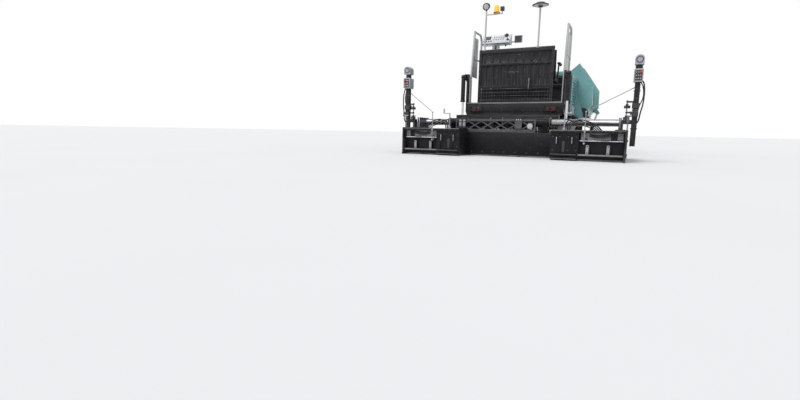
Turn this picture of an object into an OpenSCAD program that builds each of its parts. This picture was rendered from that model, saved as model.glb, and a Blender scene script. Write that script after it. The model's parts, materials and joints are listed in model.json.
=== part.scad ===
// Compact tracked asphalt paver with a telescoping screed.
// The origin is on the ground in the middle of the footprint, +Y is the paving direction,
// +X is the machine's right and +Z is up. Lengths are in millimetres.

/* [Tracks] */
// Shoe pitch
shoe_pitch = 150; // [146:1:154]
// Shoe pitches along one straight run
run_shoes = 14; // [13:1:14]
// Shoe pitches around one end
turn_shoes = 5; // [5:1:5]
// Width of a track
track_w = 240; // [220:5:240]
// Height of a shoe over the belt's outer face
shoe_h = 38; // [30:1:42]
// Thickness of the belt
belt_t = 25; // [18:1:28]

/* [Tractor] */
// Height of the platform floor
floor_z = 800; // [790:1:830]
// Depth of the operator's platform
platform_d = 800; // [780:5:830]
// Length of the engine bay
engine_bay_d = 760; // [740:5:780]
// Height of the hood's top
hood_z = 1350; // [1330:5:1380]
// Height of the rear guard wall's top
wall_top = 1610; // [1580:5:1660]

/* [Hopper] */
// Length of the hopper
hopper_d = 1620; // [1560:5:1640]
// Height of the wing hinge
hinge_z = 700; // [695:1:710]
// Angle at which the wings stand raised
wing_rest = 50; // [46:1:54]
// Thickness of the hopper plates
plate_t = 12; // [8:1:14]

/* [Augers] */
// Radius of the auger flights
flight_r = 160; // [140:1:165]
// Radius of the auger tube
auger_tube_r = 36; // [30:1:42]
// Pitch of the flights
flight_pitch = 260; // [220:5:300]

/* [Screed] */
// Width of the basic screed
base_w = 1700; // [1680:10:1720]
// How far the right extension stands out
out_right = 800; // [700:10:830]
// How far the left extension stands out
out_left = 350; // [300:10:500]
// Depth of the extension
ext_d = 360; // [340:5:370]
// Depth of the basic screed
main_d = 370; // [350:5:390]
// Height of the walkway on the screed
deck_z = 370; // [355:1:385]
// Height of the lower body of an extension
ext_low_z = 225; // [215:1:240]
// Thickness of the heated sole plate
sole_t = 20; // [14:1:24]
// Radius of the guide tubes
guide_r = 45; // [38:1:50]
// Thickness of an end gate
gate_t = 20; // [14:1:24]
// Height of a control post's top box
box_top = 1250; // [1200:5:1300]

/* [Hidden] */
$fn = 48;
// Running gap between a shaft and its bore, and between parts that only meet
fit = 0.3;

// Stations along the machine, from the extensions' steps at the rear to the push rollers
step_d = 40;
screed_clear = 110;
auger_clear = 250;
push_reach = 340;
bulk_t = 20;
slide_gap = 10;
tail_y = step_d + ext_d + slide_gap + main_d + screed_clear + 2 * flight_r + auger_clear;
total_len = tail_y + platform_d + engine_bay_d + bulk_t + hopper_d + push_reach;
y_rear = -total_len / 2;
y_front = total_len / 2;
y_ext0 = y_rear + step_d;
y_ext1 = y_ext0 + ext_d;
y_main0 = y_ext1 + slide_gap;
y_main1 = y_main0 + main_d;
y_tail = y_rear + tail_y;
y_floor1 = y_tail + platform_d;
y_bay1 = y_floor1 + engine_bay_d;
y_hop0 = y_bay1 + bulk_t;
y_hop1 = y_hop0 + hopper_d;
auger_y = y_main1 + screed_clear + flight_r;
auger_z = 300;

// The machine's centre line stands off the origin while the extensions stand out unequally
half = base_w / 2;
cl_x = (out_left - out_right) / 2;

// Widths from the basic screed inward: arms beside the body, tracks under it, beams between them
arm_t = 50;
arm_gap = 20;
arm_x1 = half - 10;
arm_x0 = arm_x1 - arm_t;
arm_mid = (arm_x0 + arm_x1) / 2;
body_half = arm_x0 - arm_gap;
track_outer = body_half - 10;
wall_half = body_half - 190;
hinge_x = half + 50;
auger_len = half - 150;
ext_len = half - 20;

// Tracks
turn_r = turn_shoes * shoe_pitch / PI;
belt_out = turn_r + belt_t / 2;
belt_in = turn_r - belt_t / 2;
shoe_out = belt_out + shoe_h;
wheel_z = shoe_out;
y_sprocket = y_tail + 320;
y_idler = y_sprocket + run_shoes * shoe_pitch;
track_inner = track_outer - track_w;
track_mid = track_outer - track_w / 2;

// Chassis
beam_out = track_inner - 40;
tunnel_half = beam_out - 160;
beam_z0 = 250;
beam_z1 = 600;
fender_z0 = 620;
fender_z1 = 650;
front_beam_d = 60;

// Tow arms and lift
tow_y = y_bay1 - 270;
tow_ear_t = 26;
tow_ear_in = 8;
tow_z = 560;
tow_pin_r = 30;
lift_y = y_tail - 60;
lift_top_z = 1215;
lift_eye_z = 470;

// Wing sections from the hinge outward: length, angle when lowered
WING_RUNS = [[200, -3], [330, 43], [460, 72]];
wing_gap = 5;
y_wing0 = y_hop0 + wing_gap;
y_wing1 = y_hop1 - 16 - wing_gap;
wing_pin_r = 14;
wing_root = WING_RUNS[0][0] - wing_pin_r - 12;

// Push beam
swivel_y = y_hop1 + 32;
swivel_pin_r = 16;
swivel_ear_r = 26;
push_half = track_inner + 120;
roller_x0 = 90;
roller_x1 = push_half - 80;
roller_r = 80;
roller_pin_r = 20;
y_roller = y_front - roller_r;
roller_z = 500;

// Sizes that several pieces share
hop_top = hood_z - 70 - fit;
exhaust_x = body_half - 470;
exhaust_y = y_bay1 - 190;
hood_hinge_x = body_half - 170;
hood_hinge_y = y_bay1 + 8;
hood_ear_r = 10;
hood_hinge_z = hood_z + 6;
hood_pin_r = 6;
mast_left = 80 - wall_half;
mast_left_top = 2220;
mast_right = wall_half - 250;
mast_right_top = 2200;
beacon_x = mast_left + 165;
small_lamp_x = mast_left + 255;
small_lamp_z = mast_left_top - 15;
rail_r = 14;
y_rail = y_floor1 - 60;
seat_x = body_half - 375;
seat_y = y_tail + 370;
knuckle_len = 110;
knuckle_gap = 3;
base_knuckles = 5;
knuckle_step = (y_wing1 - y_wing0 - knuckle_len) / (base_knuckles - 1);
lug_t = 12;
lug_gap = 3;
lug_r = 34;
ram_pin_r = 14;
ram_rod_r = 18;
ram_eye = 40;
lift_pin_r = 18;
lift_barrel = 400;
lift_eye = 18;
neck_r = 16;
neck_clear = 6;
neck_len = neck_clear + 12;
ram_y = y_idler + shoe_out + 70;
ram_base = [hinge_x + 30, 250];
ram_foot_z = ram_base[1] - lug_r - 4;
wing_lug = [150, -90];
wing_barrel = 300;
wing_rod_reach = 325;
lift_rod_reach = 445;
wing_lug_now = [hinge_x + wing_lug[0] * cos(wing_rest) - wing_lug[1] * sin(wing_rest),
                hinge_z + wing_lug[0] * sin(wing_rest) + wing_lug[1] * cos(wing_rest)];
wing_ram_len = norm(wing_lug_now - ram_base);
wing_ram_lean = atan2(wing_lug_now[0] - ram_base[0], wing_lug_now[1] - ram_base[1]);
guide_z = 470;
main_top = 330;
truss_inset = 4;
function guide_y(s) = y_main0 + (s > 0 ? 90 : 230);
guide_len = half + 150;
sleeve_x0 = 100;
sleeve_x1 = half - 110;
gate_gap = fit;
y_gate1 = auger_y + flight_r - 60;
y_post = y_ext0 + 260;
eye_x = track_inner;
eye_z = 345;
eye_t = 30;
eye_r = 26;
gate_top = 380;
gate_lift = 60;
post_arm_z = gate_top + gate_lift + 12;

// General helpers
module block(p, q) {
    translate(p) cube(q - p);
}

module rod_x(x0, x1, r, y, z) {
    translate([x0, y, z]) rotate([0, 90, 0]) cylinder(h = x1 - x0, r = r);
}

module rod_y(y0, y1, r, x, z) {
    translate([x, y0, z]) rotate([-90, 0, 0]) cylinder(h = y1 - y0, r = r);
}

module rod_z(z0, z1, r, x, y) {
    translate([x, y, z0]) cylinder(h = z1 - z0, r = r);
}

// A side view outline (y, z) given thickness along X
module side_view(x0, x1) {
    translate([x0, 0, 0]) rotate([90, 0, 90]) linear_extrude(x1 - x0) children();
}

// A front view outline (x, z) given thickness along Y
module front_view(y0, y1) {
    translate([0, y1, 0]) rotate([90, 0, 0]) linear_extrude(y1 - y0) children();
}

// Draws its children on the right for 1 and mirrored on the left for -1
module flank(s) {
    if (s < 0)
        mirror([1, 0, 0]) children();
    else
        children();
}

module both() {
    flank(1) children();
    flank(-1) children();
}

// A straight bar of round section between two points of one side view
module bar_yz(p, q, r, x) {
    d = q - p;
    translate([x, p[0], p[1]])
        rotate([-atan2(d[0], d[1]), 0, 0])
            cylinder(h = norm(d), r = r);
}

// Outline of a loop that runs around both track wheels
module loop_outline(r) {
    translate([y_sprocket, wheel_z]) circle(r);
    translate([y_idler, wheel_z]) circle(r);
    translate([y_sprocket, wheel_z - r]) square([y_idler - y_sprocket, 2 * r]);
}

// One track shoe, standing outward from a wheel centre
module shoe_outline() {
    foot = 0.44 * shoe_pitch;
    tip = 0.34 * shoe_pitch;
    polygon([[-foot, belt_out - 3], [foot, belt_out - 3], [tip, shoe_out], [-tip, shoe_out]]);
}

module track_outline() {
    difference() {
        union() {
            loop_outline(belt_out);
            for (i = [0 : run_shoes], up = [0, 180])
                translate([y_sprocket + i * shoe_pitch, wheel_z]) rotate(up) shoe_outline();
            for (i = [1 : turn_shoes - 1]) {
                translate([y_sprocket, wheel_z]) rotate(i * 180 / turn_shoes) shoe_outline();
                translate([y_idler, wheel_z]) rotate(-i * 180 / turn_shoes) shoe_outline();
            }
        }
        loop_outline(belt_in);
    }
}

module track(s) {
    color([0.10, 0.10, 0.11])
        flank(s) side_view(track_inner, track_outer) track_outline();
}

// Wheels inside one track with the beam that carries them
module undercarriage(s) {
    wheel_r = belt_in - fit;
    wheel_half = 40;
    hub_half = 90;
    roller_r_low = 70;
    roller_count = 5;
    roller_gap = (y_idler - y_sprocket - 700) / (roller_count - 1);
    beam_low = wheel_z - belt_in + fit + 2 * roller_r_low - 6;
    beam_high = beam_low + 150;
    carrier_r = 45;
    teeth = 13;
    color([0.16, 0.16, 0.17]) flank(s) {
        side_view(track_mid - 60, track_mid + 60)
            polygon([[y_sprocket, wheel_z - 55], [y_sprocket + 350, beam_low],
                     [y_idler - 330, beam_low], [y_idler, wheel_z - 45], [y_idler, wheel_z + 45],
                     [y_idler - 380, beam_high], [y_sprocket + 400, beam_high],
                     [y_sprocket, wheel_z + 55]]);
        for (i = [0 : roller_count - 1])
            rod_x(track_mid - hub_half, track_mid + hub_half, roller_r_low,
                  y_sprocket + 350 + i * roller_gap, wheel_z - belt_in + fit + roller_r_low);
        for (y = [y_sprocket + 700, y_idler - 700]) {
            rod_x(track_mid - 70, track_mid + 70, carrier_r, y, wheel_z + belt_in - fit - carrier_r);
            block([track_mid - 25, y - 35, beam_high - 5],
                  [track_mid + 25, y + 35, wheel_z + belt_in - fit - carrier_r]);
        }
        side_view(track_mid - wheel_half, track_mid + wheel_half)
            translate([y_sprocket, wheel_z]) {
                circle(wheel_r - 26);
                for (i = [0 : teeth - 1])
                    rotate(i * 360 / teeth)
                        polygon([[-26, wheel_r - 34], [26, wheel_r - 34], [11, wheel_r], [-11, wheel_r]]);
            }
        side_view(track_mid - wheel_half, track_mid + wheel_half)
            translate([y_idler, wheel_z]) difference() {
                circle(wheel_r);
                for (i = [0 : 5])
                    rotate(i * 60) translate([135, 0]) circle(38);
            }
        rod_x(beam_out, track_mid + hub_half, 105, y_sprocket, wheel_z);
        rod_x(track_mid - hub_half, track_mid + hub_half, 72, y_idler, wheel_z);
        for (y = [y_sprocket + 520, y_idler - 560])
            block([beam_out, y - 90, beam_low + 25], [track_mid - 50, y + 90, beam_high - 20]);
    }
}

// Frame of the tractor: two side beams around the conveyor tunnel and the decks on them
module chassis() {
    roof_z0 = beam_z1 - 20;
    band_z0 = fender_z1 - 1;
    color([0.14, 0.14, 0.15]) {
        difference() {
            union() {
                both() block([tunnel_half + 10, y_tail, beam_z0], [beam_out, y_hop1, beam_z1]);
                block([-tunnel_half - 10, y_tail, beam_z0], [tunnel_half + 10, y_hop1, beam_z0 + 16]);
                block([-beam_out, y_tail, roof_z0], [beam_out, y_bay1, fender_z0]);
            }
            both() block([tunnel_half + 26, y_tail + 20, beam_z0 + 16],
                         [beam_out - 16, y_hop1 - 20, beam_z1 - 40]);
        }
        block([-body_half, y_tail, fender_z0], [body_half, y_bay1, fender_z1]);
        block([-body_half, y_tail - 30, band_z0], [body_half, y_tail + 30, floor_z - 30]);
        block([-body_half, y_floor1 - 40, band_z0], [body_half, y_floor1, floor_z - 30]);
        both() block([body_half - 20, y_tail + 29, band_z0], [body_half, y_floor1 - 39, floor_z - 30]);
        block([-body_half + 10, y_hop1, 300], [body_half - 10, y_hop1 + front_beam_d, beam_z1 - 20]);
        both() {
            // Tow point with its stub pin
            side_view(body_half - tow_ear_in, body_half - tow_ear_in + tow_ear_t)
                polygon([[tow_y - 110, fender_z1], [tow_y - 60, tow_z - 50], [tow_y + 60, tow_z - 50],
                         [tow_y + 110, fender_z1]]);
            rod_x(body_half, arm_x1 + 16, tow_pin_r, tow_y, tow_z);
            rod_x(arm_x1 + 4, arm_x1 + 16, tow_pin_r + 18, tow_y, tow_z);
            // Bracket and lug plates of the wing cylinder
            block([beam_out - 5, ram_y - 45, ram_foot_z - 30],
                  [ram_base[0] + lug_r, ram_y + 45, ram_foot_z]);
            block([beam_out - 5, ram_y - 45, ram_foot_z - 31], [beam_out + 15, ram_y + 45, beam_z1 - 60]);
            for (side = [-1, 1])
                translate([0, ram_y + side * (ram_eye / 2 + lug_gap + lug_t / 2), 0])
                    front_view(-lug_t / 2, lug_t / 2) lug_outline(ram_base, ram_foot_z);
            rod_y(ram_y - 45, ram_y + 45, ram_pin_r, ram_base[0], ram_base[1]);
        }
        rod_z(beam_z1 - 21, beam_z1 + 39, swivel_pin_r, 0, swivel_y);
        // Lashing eyes at the foot of the front beam
        both() side_view(eye_x - eye_t / 2, eye_x + eye_t / 2) difference() {
            union() {
                translate([y_hop1 + front_beam_d + 40, eye_z]) circle(2 * eye_r);
                translate([y_hop1 + front_beam_d - 1, eye_z - 2 * eye_r]) square([41, 4 * eye_r]);
            }
            translate([y_hop1 + front_beam_d + 40, eye_z]) circle(eye_r);
        }
    }
}

// Towers at the platform's rear corners with the pins that the lift cylinders hang on
module lift_towers() {
    plate = 8;
    color([0.14, 0.14, 0.15]) both() {
        block([body_half - 30, y_tail - 30, floor_z - 30], [body_half, y_tail + 40, lift_top_z + 45]);
        side_view(body_half, body_half + plate)
            polygon([[y_tail + 30, lift_top_z - 90], [lift_y - 40, lift_top_z - 40],
                     [lift_y - 40, lift_top_z + 40], [y_tail + 30, lift_top_z + 40]]);
        rod_x(body_half, arm_mid + ram_eye / 2 + 14, lift_pin_r, lift_y, lift_top_z);
    }
}

// A lug plate around a pin, standing on a level
module lug_outline(p, level) {
    difference() {
        union() {
            translate(p) circle(lug_r);
            translate([p[0] - lug_r, level - 5]) square([2 * lug_r, p[1] - level + 5]);
        }
        translate(p) circle(ram_pin_r + fit);
    }
}

// Operator's platform with its grating bars
module platform() {
    rim = 25;
    bar_gap = 40;
    y0 = y_tail + rim;
    bars = floor((platform_d - 2 * rim) / bar_gap);
    color([0.20, 0.20, 0.21]) {
        difference() {
            block([-body_half, y_tail - 30, floor_z - 30], [body_half, y_floor1, floor_z]);
            block([-body_half + rim, y0, floor_z - 8], [body_half - rim, y_floor1 - rim, floor_z + 1]);
            both() block([body_half - 30 - fit, y_tail - 31, floor_z - 31],
                         [body_half + 1, y_tail + 40 + fit, floor_z + 1]);
        }
        for (i = [1 : bars])
            block([-body_half + rim - 1, y0 + i * bar_gap - 4, floor_z - 9],
                  [body_half - rim + 1, y0 + i * bar_gap + 4, floor_z]);
        // Bulkhead between the platform and the engine bay
        block([-body_half + 16, y_floor1 - 20, floor_z - 1], [body_half - 16, y_floor1, hood_z - 70]);
        // Console rails on the bulkhead
        for (z = [hood_z - 230, hood_z - 110])
            rod_x(-body_half + 30, body_half - 30, rail_r, y_rail, z);
        for (x = [-body_half + 40, body_half - 40], z = [hood_z - 230, hood_z - 110])
            block([x - 10, y_rail - rail_r, z - 10], [x + 10, y_floor1 - 19, z + 10]);
    }
}

// Rear guard wall: frame, upper panel, ribbed middle and slatted foot
module guard_wall() {
    tube = 40;
    y0 = y_tail - 10;
    foot_top = floor_z + 230;
    rail_z = floor_z + 580;
    slats = 5;
    ribs = 9;
    color([0.09, 0.09, 0.10]) {
        both() block([wall_half - tube, y0, floor_z + fit], [wall_half, y0 + tube, wall_top]);
        for (z = [floor_z + fit, foot_top, rail_z, wall_top - tube])
            block([-wall_half + 5, y0, z], [wall_half - 5, y0 + tube, z + (z == rail_z ? 26 : tube)]);
        block([-wall_half + 5, y0 + 20, rail_z], [wall_half - 5, y0 + 26, wall_top - 5]);
        block([-wall_half + 5, y0 + 26, foot_top], [wall_half - 5, y0 + 32, rail_z + 10]);
        for (i = [1 : ribs]) {
            x = -wall_half + i * 2 * wall_half / (ribs + 1);
            block([x - 12, y0 + 8, foot_top + 5], [x + 12, y0 + 30, rail_z + 5]);
        }
        for (i = [1 : slats])
            side_view(-wall_half + 5, wall_half - 5)
                translate([y0 + 8, floor_z + tube + i * (foot_top - floor_z - tube) / (slats + 1)])
                    rotate(-35) square([34, 5]);
    }
}

// Side rails of the platform, bent from tube
module handrails() {
    r = 17;
    x = body_half - 40;
    y0 = y_tail + 70;
    y1 = y_rail - 180;
    low = floor_z + 430;
    top = floor_z + 1160;
    PATH = [[y0, floor_z + fit], [y0, low], [y0 + 110, top], [y1 - 60, top], [y1, top - 90],
            [y1, floor_z + fit]];
    color([0.62, 0.63, 0.62]) both() {
        for (i = [0 : len(PATH) - 2])
            bar_yz(PATH[i], PATH[i + 1], r, x);
        for (i = [1 : len(PATH) - 2])
            translate([x, PATH[i][0], PATH[i][1]]) sphere(r = r + 1);
        bar_yz([y0 + 46, low + 300], [y1, low + 300], r * 0.8, x);
        for (y = [y0, y1])
            rod_z(floor_z + fit, floor_z + 8, 28, x, y);
        side_view(x - 3, x + 3)
            polygon([[y0 + 2, low], [y0 + 96, top - 90], [y0 + 300, top - 90], [y0 + 300, low]]);
    }
}

// Two poles on the guard wall, the left one with an arm for the beacon
module lamp_masts() {
    r = 13;
    y = y_tail + 10;
    MASTS = [[mast_left, mast_left_top], [mast_right, mast_right_top]];
    color([0.60, 0.60, 0.58]) {
        for (m = MASTS) {
            rod_z(wall_top + fit, m[1], r, m[0], y);
            block([m[0] - 30, y - 20, wall_top + fit], [m[0] + 30, y + 20, wall_top + 10]);
        }
        rod_x(mast_left, mast_left + 260, 9, y, mast_left_top - 55);
        rod_z(mast_left_top - 60, mast_left_top - 40, 26, beacon_x, y);
        rod_z(mast_left_top - 60, small_lamp_z, 7, small_lamp_x, y);
    }
}

// Flood lamps on the masts and small ones on the crossbar and the bumper
module work_lamps() {
    y = y_tail + 10;
    color([0.12, 0.12, 0.13]) {
        translate([mast_left, y, mast_left_top + fit]) {
            cylinder(h = 34, r = 13);
            translate([0, 0, 72]) rotate([110, 0, 0]) translate([0, 0, -30]) cylinder(h = 60, r = 50);
        }
        translate([mast_right, y, mast_right_top + fit]) {
            cylinder(h = 26, r = 34);
            translate([0, 0, 26]) cylinder(h = 40, r1 = 118, r2 = 60);
        }
        block([small_lamp_x - 27, y - 28, small_lamp_z + fit],
              [small_lamp_x + 27, y + 28, small_lamp_z + 60]);
    }
}

module beacon() {
    y = y_tail + 10;
    x = beacon_x;
    z0 = mast_left_top - 40;
    color([0.95, 0.50, 0.08]) {
        rod_z(z0 + fit, z0 + 12, 48, x, y);
        rod_z(z0 + 10, z0 + 82, 40, x, y);
        translate([x, y, z0 + 82]) intersection() {
            sphere(r = 40);
            translate([0, 0, 20]) cube([90, 90, 40], center = true);
        }
    }
}

// Engine and its sump as one heavy mass on the deck over the tunnel
module engine() {
    y = (y_floor1 + y_bay1) / 2;
    w = body_half - 470;
    d = engine_bay_d / 2 - 110;
    crank_h = 480;
    head_h = 80;
    color([0.32, 0.33, 0.34]) {
        block([-w, y - d, fender_z1 + fit], [w, y + d, fender_z1 + crank_h]);
        block([80 - w, y - d + 70, fender_z1 + crank_h - 1],
              [w - 80, y + d - 70, fender_z1 + crank_h + head_h]);
        rod_y(y + d - 1, y + d + 60, 190, 0, fender_z1 + crank_h / 2 + 10);
    }
}

// Side panels of the engine bay with louvres
module side_panels() {
    t = 16;
    louvres = 9;
    lou_z0 = 820;
    lou_step = 44;
    color([0.10, 0.42, 0.38]) both() {
        difference() {
            side_view(body_half - t, body_half)
                polygon([[y_floor1, fender_z1 + fit], [y_bay1, fender_z1 + fit], [y_bay1, hood_z - 70],
                         [y_floor1, hood_z - 70]]);
            for (i = [0 : louvres - 1])
                block([body_half - t - 1, y_floor1 + 130, lou_z0 + i * lou_step],
                      [body_half + 1, y_bay1 - 130, lou_z0 + i * lou_step + 24]);
        }
        for (i = [0 : louvres - 1])
            front_view(y_floor1 + 125, y_bay1 - 125)
                polygon([[body_half - t + 2, lou_z0 + i * lou_step + 24],
                         [body_half - t + 2, lou_z0 + i * lou_step + 29],
                         [body_half + 10, lou_z0 + i * lou_step + 11],
                         [body_half + 10, lou_z0 + i * lou_step + 6]]);
    }
}

// Lid over the engine bay, hinged at its front edge
module hood() {
    t = 8;
    z0 = hood_z - 70 + fit;
    y0 = y_floor1 + 4;
    y1 = y_bay1 - 4;
    chamfer = 46;
    OUT = [[-body_half, z0], [body_half, z0], [body_half, hood_z - chamfer], [body_half - chamfer, hood_z],
           [-body_half + chamfer, hood_z], [-body_half, hood_z - chamfer]];
    IN = [[-body_half + t, z0 - 1], [body_half - t, z0 - 1], [body_half - t, hood_z - chamfer - 2],
          [body_half - chamfer - 2, hood_z - t], [-body_half + chamfer + 2, hood_z - t],
          [-body_half + t, hood_z - chamfer - 2]];
    color([0.10, 0.42, 0.38]) {
        difference() {
            front_view(y0, y1) polygon(OUT);
            front_view(y0 + t, y1 - t) polygon(IN);
        }
        both() difference() {
            union() {
                rod_x(hood_hinge_x - 25, hood_hinge_x + 25, hood_ear_r, hood_hinge_y, hood_hinge_z);
                block([hood_hinge_x - 25, y1 - 30, hood_z - 4],
                      [hood_hinge_x + 25, hood_hinge_y, hood_hinge_z + 8]);
            }
            rod_x(hood_hinge_x - 26, hood_hinge_x + 26, hood_pin_r + fit, hood_hinge_y, hood_hinge_z);
        }
    }
}

// Exhaust pipe on the hood
module exhaust() {
    color([0.25, 0.24, 0.23]) {
        difference() {
            rod_z(hood_z + fit, 1640, 42, exhaust_x, exhaust_y);
            rod_z(hood_z + 12, 1641, 37, exhaust_x, exhaust_y);
        }
        rod_z(hood_z + fit, hood_z + 10, 66, exhaust_x, exhaust_y);
    }
}

// Console on its rails: carriage, column, sloped desk and a small side display
module console() {
    x0 = -body_half;
    x1 = x0 + 500;
    desk_z = hood_z + 480;
    color([0.72, 0.73, 0.74]) {
        side_view(x0, x1)
            polygon([[y_rail - 120, desk_z], [y_rail - 120, desk_z + 20], [y_rail + 60, desk_z + 180],
                     [y_rail + 90, desk_z + 180], [y_rail + 90, desk_z]]);
        block([x0 + 200, y_rail - 60, hood_z - 260], [x0 + 320, y_rail - rail_r - 6, desk_z + 1]);
        for (z = [hood_z - 230, hood_z - 110])
            difference() {
                block([x0 + 190, y_rail - 46, z - 32], [x0 + 330, y_rail + rail_r + 12, z + 32]);
                rod_x(x0 + 189, x0 + 331, rail_r + fit, y_rail, z);
            }
        block([x1 - 10, y_rail + 60, desk_z + 40], [x1 + 60, y_rail + 80, desk_z + 60]);
        block([x1 + 50, y_rail + 50, desk_z + 30], [x1 + 180, y_rail + 90, desk_z + 150]);
    }
}

// Swivel seat with arm rests
module seat(s) {
    pan = 400;
    pan_z = floor_z + 400;
    color([0.07, 0.07, 0.08]) translate([s * seat_x, seat_y, 0]) {
        rod_z(floor_z + 31 + fit, pan_z - 60, 45, 0, 0);
        block([-180, -180, pan_z - 62], [180, 180, pan_z - 30]);
        block([-pan / 2, -pan / 2, pan_z - 31], [pan / 2, pan / 2, pan_z + 60]);
        side_view(-pan / 2, pan / 2)
            polygon([[-pan / 2, pan_z - 20], [-pan / 2 + 100, pan_z + 59], [-pan / 2 + 50, pan_z + 400],
                     [-pan / 2 - 30, pan_z + 400]]);
        for (x = [-pan / 2 - 40, pan / 2])
            block([x, -pan / 2 + 60, pan_z + 190], [x + 40, pan / 2 - 90, pan_z + 225]);
        for (x = [-pan / 2 - 30, pan / 2 - 5])
            block([x, -pan / 2 + 70, pan_z - 10], [x + 35, -pan / 2 + 110, pan_z + 200]);
    }
}

// Swivel sockets under the seats
module seat_bases() {
    color([0.2, 0.2, 0.21])
        for (s = [-1, 1])
            translate([s * seat_x, seat_y, 0]) {
                rod_z(floor_z + fit, floor_z + 31, 110, 0, 0);
            }
}

// Fixed floor and walls of the hopper
module hopper_base() {
    color([0.10, 0.42, 0.38]) {
        front_view(y_bay1, y_hop0)
            polygon([[-hinge_x, hinge_z - 90], [-beam_out, fender_z1 - 40], [-beam_out, beam_z1 + fit],
                     [beam_out, beam_z1 + fit], [beam_out, fender_z1 - 40], [hinge_x, hinge_z - 90],
                     [hinge_x, hinge_z - 20], [hinge_x - 210, hop_top], [-hinge_x + 210, hop_top],
                     [-hinge_x, hinge_z - 20]]);
        both() {
            front_view(y_hop0 - 1, y_hop1)
                polygon([[tunnel_half + 12, beam_z1 + fit], [beam_out, beam_z1 + fit],
                         [hinge_x - wing_pin_r - 16, hinge_z - 24 - plate_t],
                         [hinge_x - wing_pin_r - 16, hinge_z - 12], [beam_out, beam_z1 + 20],
                         [tunnel_half + 12, beam_z1 + 20]]);
            for (i = [0 : base_knuckles - 1])
                base_knuckle(y_wing0 + i * knuckle_step);
            rod_y(y_hop0 - 1, y_wing1, wing_pin_r, hinge_x, hinge_z);
        }
        block([-tunnel_half - 14, y_hop1 - 16, beam_z1 + fit], [tunnel_half + 14, y_hop1, beam_z1 + 110]);
        // Ears and pins of the hood's hinges
        both() {
            for (x = [hood_hinge_x - 25 - 3 - 16, hood_hinge_x + 25 + 3])
                side_view(x, x + 16) union() {
                    translate([hood_hinge_y, hood_hinge_z]) circle(hood_ear_r);
                    translate([y_bay1 + 1, hop_top - 1]) square([16, hood_hinge_z - hop_top + 1]);
                }
            rod_x(hood_hinge_x - 43, hood_hinge_x + 43, hood_pin_r, hood_hinge_y, hood_hinge_z);
        }
        both() front_view(y_hop1 - 16, y_hop1)
            polygon([[tunnel_half, beam_z1 + fit], [beam_out, beam_z1 + fit],
                     [hinge_x - 60, hinge_z - 35], [hinge_x - 60, hinge_z],
                     [tunnel_half + 30, beam_z1 + 110], [tunnel_half, beam_z1 + 110]]);
    }
}

module base_knuckle(y) {
    front_view(y, y + knuckle_len) union() {
        translate([hinge_x, hinge_z]) circle(wing_pin_r + 10);
        polygon([[hinge_x - 34, hinge_z - 36], [hinge_x - 5, hinge_z - 22], [hinge_x - 5, hinge_z + 5],
                 [hinge_x - 34, hinge_z - 12]]);
    }
}

// A hopper wing drawn lowered about its hinge
module wing_skin() {
    bends = [for (i = [1 : len(WING_RUNS) - 1]) i];
    last = len(WING_RUNS);
    polygon(concat([wing_at(1, wing_root, 0)], [for (i = bends) wing_face(i, 0)],
                   [wing_at(last, 0, 0), wing_at(last, 0, plate_t)],
                   [for (i = [len(bends) : -1 : 1]) wing_face(i, plate_t)],
                   [wing_at(1, wing_root, plate_t)]));
}

// Where each section of a lowered wing starts, seen from its hinge
function wing_point(i) =
    i == 0 ? [0, 0]
           : wing_point(i - 1) + WING_RUNS[i - 1][0] * [cos(WING_RUNS[i - 1][1]), sin(WING_RUNS[i - 1][1])];

// A point in the plate at bend i, a depth t inward of its outer face
function wing_face(i, t) =
    wing_point(i) + t / cos((WING_RUNS[i][1] - WING_RUNS[i - 1][1]) / 2)
                  * [-sin((WING_RUNS[i][1] + WING_RUNS[i - 1][1]) / 2),
                     cos((WING_RUNS[i][1] + WING_RUNS[i - 1][1]) / 2)];

// A point a distance back from the end of section i, a depth t inward of its outer face
function wing_at(i, back, t) =
    wing_point(i) - back * [cos(WING_RUNS[i - 1][1]), sin(WING_RUNS[i - 1][1])]
                  + t * [-sin(WING_RUNS[i - 1][1]), cos(WING_RUNS[i - 1][1])];

// Edge of an end plate along the middle of the skin's thickness
function wing_edge() =
    [wing_at(1, wing_root - 4, plate_t / 2), wing_face(1, plate_t / 2), wing_face(2, plate_t / 2),
     wing_at(3, 6, plate_t / 2)];

module wing_end_outline() {
    polygon(concat(wing_edge(), [wing_point(3) + 300 * [cos(172), sin(172)], [wing_pin_r + 16, 560]]));
}

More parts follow.
